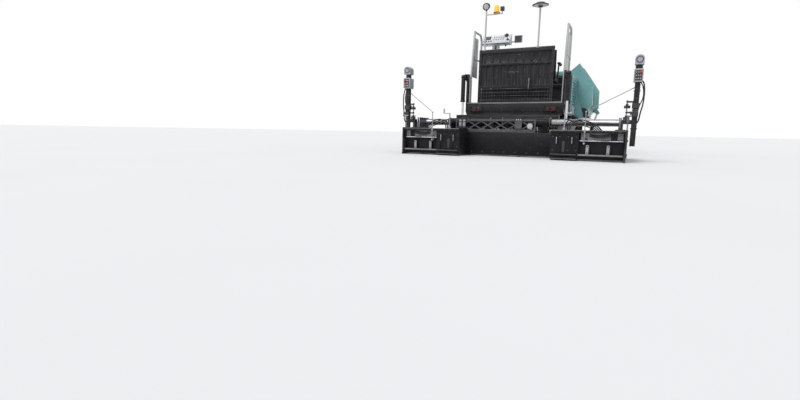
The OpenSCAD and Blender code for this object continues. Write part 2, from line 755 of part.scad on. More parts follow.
module hopper_wing(s) {
    length = y_wing1 - y_wing0;
    color([0.10, 0.42, 0.38]) flank(s)
        translate([hinge_x, y_wing0, hinge_z]) rotate([0, -wing_rest, 0]) {
            front_view(0, length) wing_skin();
            front_view(0, plate_t) wing_end_outline();
            // Low front lip
            front_view(length - plate_t, length)
                polygon(concat(wing_edge(), [wing_point(3) + 60 * [cos(172), sin(172)],
                                             wing_point(2) + [-90, 10], [140, 110], [wing_pin_r + 16, 90]]));
            // Stiffening ribs under the floor and the side
            for (i = [1 : 4])
                translate([0, i * length / 5, 0]) front_view(-5, 5)
                    polygon([wing_at(1, 150, plate_t / 2), wing_point(1) + [20, -30],
                             wing_point(2) + [36, -28], wing_at(3, 70, -30), wing_at(3, 20, plate_t / 2),
                             wing_face(2, plate_t / 2), wing_face(1, plate_t / 2)]);
            for (i = [0 : base_knuckles - 2])
                translate([0, knuckle_len + knuckle_gap + i * knuckle_step, 0])
                    front_view(0, knuckle_step - knuckle_len - 2 * knuckle_gap) difference() {
                        union() {
                            circle(wing_pin_r + 10);
                            polygon([[0, -10], [40, -6], [40, plate_t], [0, wing_pin_r + 8]]);
                        }
                        circle(wing_pin_r + fit);
                    }
            // Lug plates of the wing cylinder
            for (side = [-1, 1])
                translate([0, ram_y - y_wing0 + side * (ram_eye / 2 + lug_gap + lug_t / 2), 0])
                    front_view(-lug_t / 2, lug_t / 2) union() {
                        translate(wing_lug) circle(lug_r);
                        polygon([wing_lug + [-lug_r, 0], wing_lug + [lug_r, 0],
                                 [wing_lug[0] + lug_r + 14, -2], [wing_lug[0] - lug_r - 8, 4]]);
                    }
        }
}

// Cylinders: a barrel hung on its base pin, and a rod that ends in an eye
module ram_barrel(len_barrel, r) {
    difference() {
        union() {
            translate([0, ram_eye / 2, 0]) rotate([90, 0, 0]) cylinder(h = ram_eye, r = lug_r - 4);
            translate([0, 0, lug_r - 10]) cylinder(h = neck_len, r = neck_r);
            translate([0, 0, lug_r + neck_clear]) cylinder(h = len_barrel - lug_r - neck_clear, r = r);
            translate([0, 0, len_barrel - 24]) cylinder(h = 24, r = r + 4);
        }
        translate([0, 0, lug_r + 20]) cylinder(h = len_barrel, r = ram_rod_r + fit);
        translate([0, ram_eye, 0]) rotate([90, 0, 0]) cylinder(h = 2 * ram_eye, r = ram_pin_r + fit);
    }
}

module ram_rod(len_pins, reach) {
    translate([0, 0, len_pins - reach]) cylinder(h = reach - lug_r + 10, r = ram_rod_r);
    translate([0, ram_eye / 2, len_pins]) rotate([90, 0, 0]) cylinder(h = ram_eye, r = lug_r - 4);
}

// Places a wing cylinder on its base pin, aimed at the wing's lug
module wing_ram_place(s) {
    flank(s) translate([ram_base[0], ram_y, ram_base[1]]) rotate([0, wing_ram_lean, 0]) children();
}

module wing_ram(s) {
    color([0.13, 0.13, 0.14]) wing_ram_place(s) ram_barrel(wing_barrel, 32);
}

module wing_rod(s) {
    color([0.75, 0.76, 0.78]) wing_ram_place(s) ram_rod(wing_ram_len, wing_rod_reach);
}

// Lift cylinders hang from the towers and hold the tow arms
module lift_ram(s) {
    color([0.13, 0.13, 0.14]) flank(s)
        translate([arm_mid, lift_y, lift_top_z]) rotate([0, 180, 0]) rotate([0, 0, 90]) difference() {
            union() {
                translate([0, ram_eye / 2, 0]) rotate([90, 0, 0]) cylinder(h = ram_eye, r = lug_r);
                translate([0, 0, lug_r - 12]) cylinder(h = lift_barrel - lug_r + 12, r = 34);
                translate([0, 0, lift_barrel - 24]) cylinder(h = 24, r = 38);
            }
            translate([0, 0, lug_r + 12]) cylinder(h = lift_barrel, r = ram_rod_r + fit);
            translate([0, ram_eye, 0]) rotate([90, 0, 0]) cylinder(h = 2 * ram_eye, r = lift_pin_r + fit);
        }
}

module lift_rod(s) {
    color([0.75, 0.76, 0.78]) flank(s)
        translate([arm_mid, lift_y, lift_eye_z]) {
            rod_z(lug_r + neck_clear, lift_rod_reach, ram_rod_r, 0, 0);
            block([-lift_eye / 2, -neck_r, lug_r - 12], [lift_eye / 2, neck_r, lug_r + neck_clear + 1]);
            rod_x(-lift_eye / 2, lift_eye / 2, lug_r - 4, 0, 0);
        }
}

// Tow arms from the tow points back to the screed
module tow_arms() {
    h = 70;
    color([0.12, 0.12, 0.13]) both() {
        difference() {
            side_view(arm_x0, arm_x1) difference() {
                union() {
                    translate([tow_y, tow_z]) circle(72);
                    polygon([[tow_y + 20, tow_z - 68], [tow_y + 10, tow_z + 70],
                             [tow_y - 420, tow_z - 70], [lift_y + 140, lift_eye_z - 40],
                             [y_main1 + 90, lift_eye_z - 40],
                             [y_main1 + fit, lift_eye_z - 90], [y_main1 + fit, 100], [y_main1 + 40, 100],
                             [y_main1 + 150, lift_eye_z - 40 - 2 * h],
                             [lift_y + 140, lift_eye_z - 40 - 2 * h],
                             [tow_y - 420, tow_z - 60 - 2 * h]]);
                }
                translate([tow_y, tow_z]) circle(tow_pin_r + fit);
            }
        }
        // Lug plates of the lift cylinder
        for (x = [arm_mid - lift_eye / 2 - lug_gap - lug_t, arm_mid + lift_eye / 2 + lug_gap])
            side_view(x, x + lug_t) union() {
                translate([lift_y, lift_eye_z]) circle(lug_r);
                translate([lift_y - lug_r, lift_eye_z - 60]) square([2 * lug_r, 60]);
            }
    }
}

// Basic screed: box with a bowed front mould board
module screed_main() {
    wall = 14;
    color([0.08, 0.08, 0.09]) {
        difference() {
            side_view(-half + 10, half - 10)
                polygon([[y_main0, sole_t + fit], [y_main1 - 40, sole_t + fit], [y_main1, 90],
                         [y_main1, 250], [y_main1 - 60, main_top], [y_main0 + truss_inset, main_top],
                         [y_main0, main_top - truss_inset]]);
            // Open below, over the sole plate
            side_view(-half + 10 + wall, half - 10 - wall)
                polygon([[y_main0 + wall, sole_t - 1], [y_main1 - 50, sole_t - 1],
                         [y_main1 - wall, 95], [y_main1 - wall, 245], [y_main1 - 66, main_top - wall],
                         [y_main0 + 40, main_top - wall], [y_main0 + wall, 295]]);
        }
    }
}

module screed_sole() {
    color([0.30, 0.29, 0.28])
        side_view(-half, half)
            polygon([[y_main0, 0], [y_main1 - 30, 0], [y_main1 + 10, 34], [y_main1 + 4, 42],
                     [y_main1 - 38, sole_t], [y_main0, sole_t]]);
}

// Guide sleeves on the basic screed, one for each extension
module screed_guides() {
    wall = 14;
    color([0.30, 0.30, 0.31]) {
        for (s = [-1, 1]) flank(s) difference() {
            union() {
                rod_x(sleeve_x0, sleeve_x1, guide_r + wall, guide_y(s), guide_z);
                for (x = [sleeve_x0 + 30, sleeve_x1 - 90])
                    block([x, guide_y(s) - 50, main_top + fit], [x + 60, guide_y(s) + 50, guide_z]);
            }
            rod_x(sleeve_x0 - 1, sleeve_x1 + 1, guide_r + fit, guide_y(s), guide_z);
        }
    }
}

// Trussed cross beam along the rear edge of the basic screed, an open lattice
module truss_beam() {
    y0 = y_main0 + truss_inset;
    z0 = main_top + fit;
    z1 = guide_z + 35;
    chord_low = 40;
    chord_top = 24;
    depth = 24;
    bar = 14;
    bays = 6;
    reach = half - 290;
    bay_w = 2 * reach / bays;
    bay_h = z1 - chord_top - z0 - chord_low;
    post_w = 16;
    color([0.34, 0.34, 0.35]) {
        block([-reach, y0, z0], [reach, y0 + depth, z0 + chord_low]);
        block([-reach, y0, z1 - chord_top], [reach, y0 + depth, z1]);
        both() block([reach - post_w, y0, z0 + 1], [reach, y0 + depth, z1 - 1]);
        for (i = [0 : bays - 1], k = [-1, 1])
            translate([-reach + (i + 0.5) * bay_w, y0 + depth / 2, z0 + chord_low + bay_h / 2])
                rotate([0, k * atan2(bay_h, bay_w), 0])
                    cube([norm([bay_w, bay_h]) + bar, bar, bar], center = true);
    }
}

// One screed extension: outer half set back under its deck, inner half full depth
module extension_body(s, out) {
    x1 = half + out;
    x0 = x1 - ext_len;
    inner_len = 330;
    xs = x0 + inner_len;
    set_back = 100;
    wall = 12;
    color([0.08, 0.08, 0.09]) flank(s) {
        difference() {
            side_view(x0, x1)
                polygon([[y_ext0, sole_t + fit], [y_ext1 - 30, sole_t + fit], [y_ext1, 80],
                         [y_ext1, deck_z - 20], [y_ext0, deck_z - 20]]);
            // Outer half: recess over the lower body, open to the rear
            block([xs, y_ext0 - 1, ext_low_z], [x1 - 14, y_ext0 + 200, deck_z - 32]);
            block([xs, y_ext0 - 1, sole_t], [x1 + 1, y_ext0 + set_back - 40, ext_low_z + 1]);
            // Hollow box
            side_view(x0 + wall, xs - wall)
                polygon([[y_ext0 + wall, sole_t - 1], [y_ext1 - 40, sole_t - 1], [y_ext1 - wall, 84],
                         [y_ext1 - wall, deck_z - 34], [y_ext0 + wall, deck_z - 34]]);
            block([xs + wall, y_ext0 + set_back - 40 + wall, sole_t - 1],
                  [x1 - wall, y_ext1 - 50, ext_low_z - wall]);
        }
        // Deck plate
        block([x0, y_ext0 - 10, deck_z - 20], [x1, y_ext1, deck_z]);
        // Toe strips along the foot and hand holds
        block([x0 + 8, y_rear, 58], [xs - 20, y_ext0 + 1, 74]);
        block([x0 + 8, y_rear, 26], [xs - 20, y_ext0 + 1, 40]);
        block([xs, y_rear + 40, 58], [x1, y_ext0 + set_back - 39, 78]);
        for (x = [x0 + 90, x0 + 270])
            block([x, y_rear + 24, 90], [x + 26, y_ext0 + 1, 190]);
        for (x = [xs + 100, xs + 330])
            block([x, y_ext0 + 20, 100], [x + 30, y_ext0 + set_back - 39, 190]);
        // Boxes in the recess
        block([xs + 30, y_ext0 + 60, ext_low_z - 1], [xs + 110, y_ext0 + 201, ext_low_z + 70]);
        block([x1 - 150, y_ext0 + 30, ext_low_z - 1], [x1 - 80, y_ext0 + 201, deck_z - 31]);
    }
}

module extension_sole(s, out) {
    x1 = half + out;
    color([0.30, 0.29, 0.28]) flank(s)
        side_view(x1 - ext_len, x1)
            polygon([[y_ext0 + 60, 0], [y_ext1 - 34, 0], [y_ext1, 30], [y_ext1, 38], [y_ext1 - 30, sole_t],
                     [y_ext0 + 60, sole_t]]);
}

// Guide tube of an extension with the bracket that ties it to the deck
module extension_guide(s, out) {
    x1 = half + out;
    color([0.55, 0.56, 0.58]) flank(s) {
        rod_x(x1 - 60 - guide_len, x1 - 60, guide_r, guide_y(s), guide_z);
        block([x1 - 90, y_post + 50, deck_z + fit], [x1 - 60, guide_y(s) + 60, guide_z + 60]);
    }
}

module end_gate(s, out) {
    x1 = half + out + gate_gap;
    color([0.13, 0.13, 0.14]) flank(s)
        side_view(x1, x1 + gate_t)
            polygon([[y_rear + 10, 0], [y_gate1 - 90, 0], [y_gate1, 90], [y_gate1, gate_top - 80],
                     [y_gate1 - 80, gate_top], [y_rear + 10, gate_top]]);
}

// Post at the screed's end with its two control boxes
module control_post(s, out) {
    x0 = half + out + gate_gap + gate_t + 6;
    w = 100;
    y = y_post;
    color([0.11, 0.11, 0.12]) flank(s) {
        block([x0 + 20, y - 30, 190], [x0 + 80, y + 30, box_top - 310]);
        // Foot over the end gate
        block([half + out - 120, y - 40, deck_z + fit], [half + out - 5, y + 40, deck_z + 16]);
        block([half + out - 60, y - 40, deck_z + 15], [half + out - 40, y + 40, post_arm_z + 50]);
        block([half + out - 60, y - 25, post_arm_z], [x0 + 21, y + 25, post_arm_z + 50]);
    }
    color([0.66, 0.67, 0.68]) flank(s) {
        block([x0, y - 70, box_top - 310], [x0 + w, y + 70, box_top - 160]);
        block([x0 + 15, y - 50, box_top - 161], [x0 + w - 15, y + 50, box_top - 109]);
        front_view(y - 60, y + 60) union() {
            translate([x0, box_top - 110]) square([w, 110 - w / 2]);
            translate([x0 + w / 2, box_top - w / 2]) circle(w / 2);
        }
    }
}

// Carrier of the augers: gear case in the middle and outer bearings under a cross beam
module auger_carrier() {
    case_w = 44;
    beam_z = 520;
    end_x = 40 + auger_len + 10;
    color([0.15, 0.15, 0.16]) {
        block([-end_x - 16, auger_y - 60, beam_z], [end_x + 16, auger_y + 60, beam_z + 70]);
        both() block([beam_out - 60, auger_y + 59, beam_z + 10], [beam_out, y_tail - fit, beam_z + 60]);
        side_view(-case_w / 2 - 6, case_w / 2 + 6) union() {
            translate([auger_y, auger_z]) circle(75);
            translate([auger_y - 75, auger_z]) square([150, beam_z - auger_z + 1]);
        }
        both() {
            side_view(end_x, end_x + 16) union() {
                translate([auger_y, auger_z]) circle(48);
                translate([auger_y - 48, auger_z]) square([96, beam_z - auger_z + 1]);
            }
            rod_x(end_x - 30, end_x + 1, auger_tube_r - 12, auger_y, auger_z);
            rod_x(case_w / 2, case_w / 2 + 40, auger_tube_r - 12, auger_y, auger_z);
        }
    }
}

// One auger: a tube with its helical flight seated around it
module auger(s) {
    x0 = 40;
    flight_deg = 14;
    flight_in = auger_tube_r + 2 * fit;
    turns = (auger_len - 60) / flight_pitch;
    color([0.45, 0.44, 0.42]) flank(s) translate([x0, auger_y, auger_z]) rotate([0, 90, 0]) {
        difference() {
            cylinder(h = auger_len, r = auger_tube_r);
            translate([0, 0, -1]) cylinder(h = auger_len + 2, r = auger_tube_r - 12 + fit);
        }
        translate([0, 0, 30])
            linear_extrude(auger_len - 60, twist = -360 * turns, slices = round(turns * 26),
                           segments = 6, convexity = 8)
                polygon(concat([for (i = [0 : 2]) flight_point(flight_in, i * flight_deg / 2)],
                               [for (i = [2 : -1 : 0]) flight_point(flight_r, i * flight_deg / 2)]));
    }
}

function flight_point(r, deg) = r * [cos(deg), sin(deg)];

// Slat conveyor from the hopper through the tunnel to the augers
module conveyor() {
    loop_r = 90;
    y0 = y_tail + 60;
    y1 = y_hop1 - 90;
    z_low = beam_z0 + 16 + fit + loop_r;
    slat_gap = 150;
    slats = floor((y1 - y0) / slat_gap);
    color([0.28, 0.27, 0.26]) {
        both() side_view(tunnel_half - 50, tunnel_half - 20) difference() {
            conveyor_loop(y0 + loop_r, y1 - loop_r, z_low, loop_r);
            conveyor_loop(y0 + loop_r, y1 - loop_r, z_low, loop_r - 20);
        }
        for (i = [0 : slats - 2], z = [z_low + loop_r - 18, z_low - loop_r + 2])
            block([-tunnel_half + 21, y0 + loop_r + i * slat_gap, z],
                  [tunnel_half - 21, y0 + loop_r + i * slat_gap + 30, z + 16]);
        for (y = [y0 + loop_r, y1 - loop_r]) {
            both() rod_x(tunnel_half - 60, tunnel_half - 15, loop_r - 19, y, z_low);
            rod_x(-tunnel_half - 10 + fit, tunnel_half + 10 - fit, 36, y, z_low);
        }
    }
}

module conveyor_loop(ya, yb, z, r) {
    translate([ya, z]) circle(r);
    translate([yb, z]) circle(r);
    translate([ya, z - r]) square([yb - ya, 2 * r]);
}

// Beam in front of the chassis that swivels on the front pin and carries the push rollers
module push_beam() {
    y0 = swivel_y + 93;
    neck = 40;
    color([0.14, 0.14, 0.15]) {
        block([-push_half, y0, roller_z - 70], [push_half, y0 + 34, roller_z + 60]);
        for (x = [-roller_x1 - 30, -roller_x0 + 10, roller_x0 - 30, roller_x1 + 10])
            side_view(x, x + 20) union() {
                translate([y_roller, roller_z]) circle(40);
                translate([y0 + 30, roller_z - 40]) square([y_roller - y0 - 30, 80]);
            }
        both() rod_x(roller_x0 - 11, roller_x1 + 11, roller_pin_r, y_roller, roller_z);
        // Swivel ear around the front pin
        difference() {
            union() {
                block([-swivel_ear_r, swivel_y, beam_z1 - 20 + fit], [swivel_ear_r, y0 + 10, beam_z1 + 10]);
                rod_z(beam_z1 - 20 + fit, beam_z1 + 10, swivel_ear_r, 0, swivel_y);
                block([-neck, y0, roller_z + 50], [neck, y0 + 34, beam_z1 + 10]);
            }
            rod_z(beam_z1 - 30, beam_z1 + 20, swivel_pin_r + fit, 0, swivel_y);
        }
    }
}

module push_roller(s) {
    color([0.36, 0.35, 0.34]) flank(s) difference() {
        rod_x(roller_x0 + 6, roller_x1 - 6, roller_r, y_roller, roller_z);
        rod_x(roller_x0 + 5, roller_x1 - 5, roller_pin_r + fit, y_roller, roller_z);
    }
}

module placed() {
    translate([cl_x, 0, 0]) children();
}

placed() chassis();
placed() lift_towers();
placed() track(-1);  // track_left
placed() track(1);  // track_right
placed() undercarriage(-1);  // undercarriage_left
placed() undercarriage(1);  // undercarriage_right
placed() platform();
placed() guard_wall();
placed() handrails();
placed() lamp_masts();
placed() work_lamps();
placed() beacon();
placed() engine();
placed() side_panels();
placed() hood();
placed() exhaust();
placed() console();
placed() seat_bases();
placed() seat(-1);  // seat_left
placed() seat(1);  // seat_right
placed() hopper_base();
placed() hopper_wing(-1);  // hopper_wing_left
placed() hopper_wing(1);  // hopper_wing_right
placed() wing_ram(-1);  // wing_ram_left
placed() wing_ram(1);  // wing_ram_right
placed() wing_rod(-1);  // wing_rod_left
placed() wing_rod(1);  // wing_rod_right
placed() lift_ram(-1);  // lift_ram_left
placed() lift_ram(1);  // lift_ram_right
placed() lift_rod(-1);  // lift_rod_left
placed() lift_rod(1);  // lift_rod_right
placed() conveyor();
placed() auger_carrier();
placed() auger(-1);  // auger_left
placed() auger(1);  // auger_right
placed() push_beam();
placed() push_roller(-1);  // push_roller_left
placed() push_roller(1);  // push_roller_right
placed() tow_arms();
placed() screed_main();
placed() screed_sole();
placed() screed_guides();
placed() truss_beam();
placed() extension_body(-1, out_left);  // extension_left
placed() extension_body(1, out_right);  // extension_right
placed() extension_sole(-1, out_left);  // extension_sole_left
placed() extension_sole(1, out_right);  // extension_sole_right
placed() extension_guide(-1, out_left);  // extension_guide_left
placed() extension_guide(1, out_right);  // extension_guide_right
placed() end_gate(-1, out_left);  // end_gate_left
placed() end_gate(1, out_right);  // end_gate_right
placed() control_post(-1, out_left);  // control_post_left
placed() control_post(1, out_right);  // control_post_right
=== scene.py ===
"""Looks of a compact tracked asphalt paver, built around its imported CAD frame.

Everything is in metres. +Y is the paving direction, +X the machine's right and +Z up. The tractor's
centre line stands off the origin because the two screed extensions are out by unequal amounts.
"""
import json
import math

import bmesh
import bpy
from mathutils import Matrix, Vector


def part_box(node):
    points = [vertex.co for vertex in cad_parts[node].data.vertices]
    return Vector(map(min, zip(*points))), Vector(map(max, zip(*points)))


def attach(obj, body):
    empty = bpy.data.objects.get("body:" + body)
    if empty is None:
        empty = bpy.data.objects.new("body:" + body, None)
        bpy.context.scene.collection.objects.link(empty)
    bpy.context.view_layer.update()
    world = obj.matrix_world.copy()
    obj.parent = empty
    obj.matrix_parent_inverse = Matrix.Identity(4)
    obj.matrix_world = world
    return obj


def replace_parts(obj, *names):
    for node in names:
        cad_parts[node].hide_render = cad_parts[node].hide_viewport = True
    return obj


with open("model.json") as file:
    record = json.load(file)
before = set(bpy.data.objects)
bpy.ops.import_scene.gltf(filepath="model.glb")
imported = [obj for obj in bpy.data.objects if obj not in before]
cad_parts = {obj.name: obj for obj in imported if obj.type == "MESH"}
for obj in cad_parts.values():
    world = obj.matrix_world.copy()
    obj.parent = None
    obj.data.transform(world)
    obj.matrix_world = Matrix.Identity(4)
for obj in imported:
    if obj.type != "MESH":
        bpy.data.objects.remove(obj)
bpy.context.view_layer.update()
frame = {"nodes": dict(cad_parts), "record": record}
NODES = frame["nodes"]

# The photograph's view: 0.33 m over the ground, 8.3 m behind the middle, looking 27 degrees to the left
CAMERA_PLACE = (1.481, -8.324, 0.325)
CAMERA_TURN = (81.263, -1.019, 26.938)
CAMERA_LENS = 20.25
CAMERA_REACH = 400.0
# The floor's radius, and the sun's strength, width and direction in degrees
FLOOR_RADIUS = 180.0
SUN_STRENGTH, SUN_WIDTH, SUN_TURN = 1.9, 35, (38, 8, -35)
SKY_STRENGTH, SKY_COLOUR = 0.62, (0.93, 0.96, 1.0, 1.0)

camera = bpy.data.objects.new("camera", bpy.data.cameras.new("camera"))
bpy.context.scene.collection.objects.link(camera)
camera.data.sensor_width = 36.0
camera.data.lens = CAMERA_LENS
camera.data.clip_end = CAMERA_REACH
camera.location = CAMERA_PLACE
camera.rotation_euler = [math.radians(a) for a in CAMERA_TURN]
bpy.context.scene.camera = camera


# Places taken from the frame, and helpers that lay things out

def middle(node):
    low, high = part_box(node)
    return (low + high) / 2


CENTRE = middle("chassis").x
SIDES = (("left", -1), ("right", 1))
# As the solids have them: a wing's hinge line and the angle by which it is raised, how far out its side then
# stands, the height from which the side leans in and by how much, and the height of the screed's guide tubes
HINGE_X, HINGE_Z, WING_RAISED = 0.900, 0.700, math.radians(50)
WING_REACH, WING_SHOULDER_Z, WING_SLANT = 1.0, 1.176, 0.626
GUIDE_Z = 0.470


def spread(start, end, count):
    """Evenly spaced values from start to end."""
    return [start + (end - start) * k / (count - 1) for k in range(count)]


def around(count, radius, turned=0.0):
    """(across, up) places on a circle, the first one turned by an angle in degrees."""
    angles = [2 * math.pi * k / count + math.radians(turned) for k in range(count)]
    return [(radius * math.cos(a), radius * math.sin(a)) for a in angles]


def arc(centre, radius, start, end, steps):
    """Points on an arc in a plane, angles in degrees."""
    return [(centre[0] + radius * math.cos(math.radians(a)), centre[1] + radius * math.sin(math.radians(a)))
            for a in spread(start, end, steps + 1)]


def curve_through(points, steps=8):
    """A smooth path through the given points."""
    p = [Vector(q) for q in points]
    path = []
    for i in range(len(p) - 1):
        a, b, c, d = p[max(i - 1, 0)], p[i], p[i + 1], p[min(i + 2, len(p) - 1)]
        for k in range(steps):
            t = k / steps
            path.append(0.5 * (2 * b + (c - a) * t + (2 * a - 5 * b + 4 * c - d) * t * t
                               + (3 * b - a - 3 * c + d) * t * t * t))
    return path + [p[-1]]


# Shader graphs

class Graph:
    """A node tree of a material or the world: node() adds one node and sets or links its inputs by name."""

    def __init__(self, owner):
        owner.use_nodes = True
        self.owner = owner
        self.tree = owner.node_tree

    def feed(self, socket, value):
        if isinstance(value, bpy.types.NodeSocket):
            self.tree.links.new(value, socket)
        else:
            socket.default_value = value

    def node(self, kind, settings=None, **inputs):
        made = self.tree.nodes.new(kind)
        for key, value in (settings or {}).items():
            setattr(made, key, value)
        for key, value in inputs.items():
            self.feed(made.inputs[key.replace("_", " ")], value)
        return made

    def ramp(self, value, low, high, start=0.0, end=1.0):
        """start where a value is under low, end where it is over high."""
        made = self.node("ShaderNodeMapRange", Value=value)
        for index, number in enumerate((low, high, start, end), 1):
            made.inputs[index].default_value = number
        return made.outputs[0]

    def math(self, operation, a, b=0.0):
        made = self.node("ShaderNodeMath", {"operation": operation})
        self.feed(made.inputs[0], a)
        self.feed(made.inputs[1], b)
        return made.outputs[0]

    def times(self, a, b):
        return self.math("MULTIPLY", a, b)

    def most(self, a, b):
        return self.math("MAXIMUM", a, b)


class Surface(Graph):
    """A material's graph, laid out by the place on the object and not by any unwrapping."""

    def __init__(self, name):
        super().__init__(bpy.data.materials.new(name))
        self.shader = self.tree.nodes["Principled BSDF"]
        self.place = self.node("ShaderNodeTexCoord").outputs["Object"]
        self.geometry = self.node("ShaderNodeNewGeometry")

    def parts(self, vector):
        return self.node("ShaderNodeSeparateXYZ", Vector=vector).outputs

    def noise(self, scale, detail=5.0, roughness=0.6, stretch=(1, 1, 1)):
        place = self.node("ShaderNodeMapping", Vector=self.place, Scale=stretch).outputs[0]
        return self.node("ShaderNodeTexNoise", Vector=place, Scale=scale, Detail=detail,
                         Roughness=roughness).outputs["Fac"]

    def patches(self, low, high, *noise, start=0.0, end=1.0):
        """Noise cut to the range from low to high. What follows them is what noise() takes."""
        return self.ramp(self.noise(*noise), low, high, start, end)

    def mix(self, share, a, b):
        made = self.node("ShaderNodeMix", {"data_type": "RGBA"})
        self.feed(made.inputs[0], share)
        for socket, colour in ((made.inputs[6], a), (made.inputs[7], b)):
            self.feed(socket, colour if isinstance(colour, bpy.types.NodeSocket) else (*colour, 1.0))
        return made.outputs[2]

    def bump(self, strength, distance, height):
        return self.node("ShaderNodeBump", Strength=strength, Distance=distance, Height=height).outputs[0]

    def set(self, **inputs):
        for key, value in inputs.items():
            self.feed(self.shader.inputs[key.replace("_", " ")], value)


def scaled(colour, factor):
    return tuple(min(1.0, c * factor) for c in colour)


# Colours that several finishes share
DUST = (0.24, 0.22, 0.19)
BITUMEN = (0.012, 0.012, 0.013)
BARE_STEEL = (0.30, 0.29, 0.28)
BODY_GREEN = (0.150, 0.350, 0.354)
CHIPPED = (0.13, 0.105, 0.085)
SCOURED = ((0.11, 0.105, 0.10), (0.22, 0.21, 0.20))
WHITE = (1.0, 1.0, 1.0, 1.0)


def rubbed(g, edge):
    """Where paint is gone: along edges, in fine scratches both ways and in chips."""
    rounded = g.node("ShaderNodeBevel", {"samples": 4}, Radius=edge).outputs["Normal"]
    turn = g.node("ShaderNodeVectorMath", {"operation": "DOT_PRODUCT"})
    g.feed(turn.inputs[0], rounded)
    g.feed(turn.inputs[1], g.geometry.outputs["Normal"])
    edges = g.times(g.ramp(turn.outputs["Value"], 0.97, 0.80), g.patches(0.42, 0.58, 31.0, 8.0))
    lines = g.most(g.patches(0.700, 0.715, 34.0, 2.0, 0.4, (1.0, 0.04, 1.0)),
                   g.patches(0.700, 0.715, 34.0, 2.0, 0.4, (0.05, 1.0, 1.4)))
    scratches = g.times(lines, g.patches(0.48, 0.60, 3.7, 3.0, end=0.8))
    chips = g.times(g.patches(0.665, 0.675, 75.0, 3.0, 0.5), g.patches(0.50, 0.60, 2.9, 3.0))
    return g.most(edges, g.most(scratches, chips))


def scoured(g, base, hollow):
    """Bare steel and smeared bitumen on the faces that look into a load space about (x, y)."""
    normal = g.parts(g.node("ShaderNodeTexCoord").outputs["Normal"])
    place = g.parts(g.place)
    faces_in = [g.times(g.math("SIGN", g.math("SUBTRACT", at, place[axis])), normal[axis])
                for axis, at in zip("XY", hollow)]
    # Faces that look along the machine count only within the raised wings' curve, which leaves the ribs out
    across = g.math("ABSOLUTE", g.math("SUBTRACT", place["X"], hollow[0]))
    slant = g.times(g.most(g.math("SUBTRACT", place["Z"], WING_SHOULDER_Z), 0.0), WING_SLANT)
    within = g.ramp(g.math("ADD", across, slant), WING_REACH - 0.005, WING_REACH + 0.005, 1.0, 0.0)
    inner = g.most(g.ramp(faces_in[0], 0.20, 0.35), g.times(within, g.ramp(faces_in[1], 0.5, 0.8)))
    inner = g.most(inner, g.times(g.ramp(normal["Z"], 0.6, 0.8), g.ramp(place["Z"], 0.80, 0.78)))
    low = g.ramp(place["Z"], 1.45, 0.62)
    scour = g.ramp(g.math("ADD", g.noise(2.6, 9.0, 0.65), g.times(low, 0.30)), 0.56, 0.70)
    smear = g.ramp(g.math("ADD", g.noise(5.2, 9.0, 0.7, (1.0, 0.5, 1.0)), g.times(low, 0.22)), 0.62, 0.72)
    steel = g.mix(g.noise(12.0, 6.0, 0.6, (1.0, 0.2, 1.0)), *SCOURED)
    base = g.mix(g.times(inner, g.times(scour, 0.9)), base, steel)
    return g.mix(g.times(inner, g.times(smear, 0.92)), base, BITUMEN)


def coated(name, colour, roughness=0.5, metallic=0.0, vary=0.25, dust=0.35, splash=0.0, tar=0.0, wear=0.5,
           wear_colour=BARE_STEEL, pits=0.15, pit_size=140.0, edge=0.004, coat=0.0, shine=0.5, hollow=None):
    """Paint, plastic or metal with blotches, dust on top faces, splashes low down, tar and worn edges.

    hollow is the (x, y) middle of a load space, whose inner faces are scoured and tarred.
    """
    g = Surface(name)
    base = g.mix(g.patches(0.3, 0.7, 2.3, 6.0), scaled(colour, 1 - vary), scaled(colour, 1 + vary))
    streaks = g.patches(0.50, 0.72, 9.0, 3.0, 0.6, (1, 1, 0.12), end=vary)
    base = g.mix(streaks, base, scaled(colour, 0.50))
    film = g.times(g.patches(0.42, 0.68, 4.2, 10.0, 0.7), g.patches(0.3, 0.7, 55.0, 4.0, start=0.35))
    base = g.mix(g.times(film, 0.35 * dust), base, DUST)
    level = g.parts(g.geometry.outputs["Normal"])["Z"]
    settled = g.times(g.ramp(level, 0.45, 0.95), g.patches(0.35, 0.65, 6.0, 8.0, start=0.25))
    base = g.mix(g.times(settled, dust), base, DUST)
    rough = g.patches(0.3, 0.7, 18.0, start=roughness - 0.1, end=roughness + 0.12)
    rough = g.most(rough, g.ramp(g.times(settled, dust), 0.0, 1.0, 0.0, 0.95))
    if splash:
        low = g.times(g.ramp(g.parts(g.place)["Z"], 0.05, 0.75, 1.0, 0.0), g.patches(0.4, 0.62, 11.0, 9.0))
        base = g.mix(g.times(low, splash), base, scaled(DUST, 0.75))
        rough = g.most(rough, g.times(low, 0.9))
    if tar:
        crust = g.most(g.patches(0.56, 0.62, 26.0, 10.0, 0.7), g.patches(0.48, 0.60, 3.1, 8.0, 0.7))
        crust = g.times(crust, tar)
        base = g.mix(crust, base, BITUMEN)
        rough = g.math("SUBTRACT", rough, g.times(crust, 0.12))
    if wear:
        base = g.mix(g.times(rubbed(g, edge), wear), base, wear_colour)
    if hollow:
        base = scoured(g, base, hollow)
    g.set(Base_Color=base, Roughness=rough, Normal=g.bump(pits, 0.002, g.noise(pit_size, 6.0)))
    g.set(Metallic=metallic, Coat_Weight=coat, Specular_IOR_Level=shine)
    return g.owner


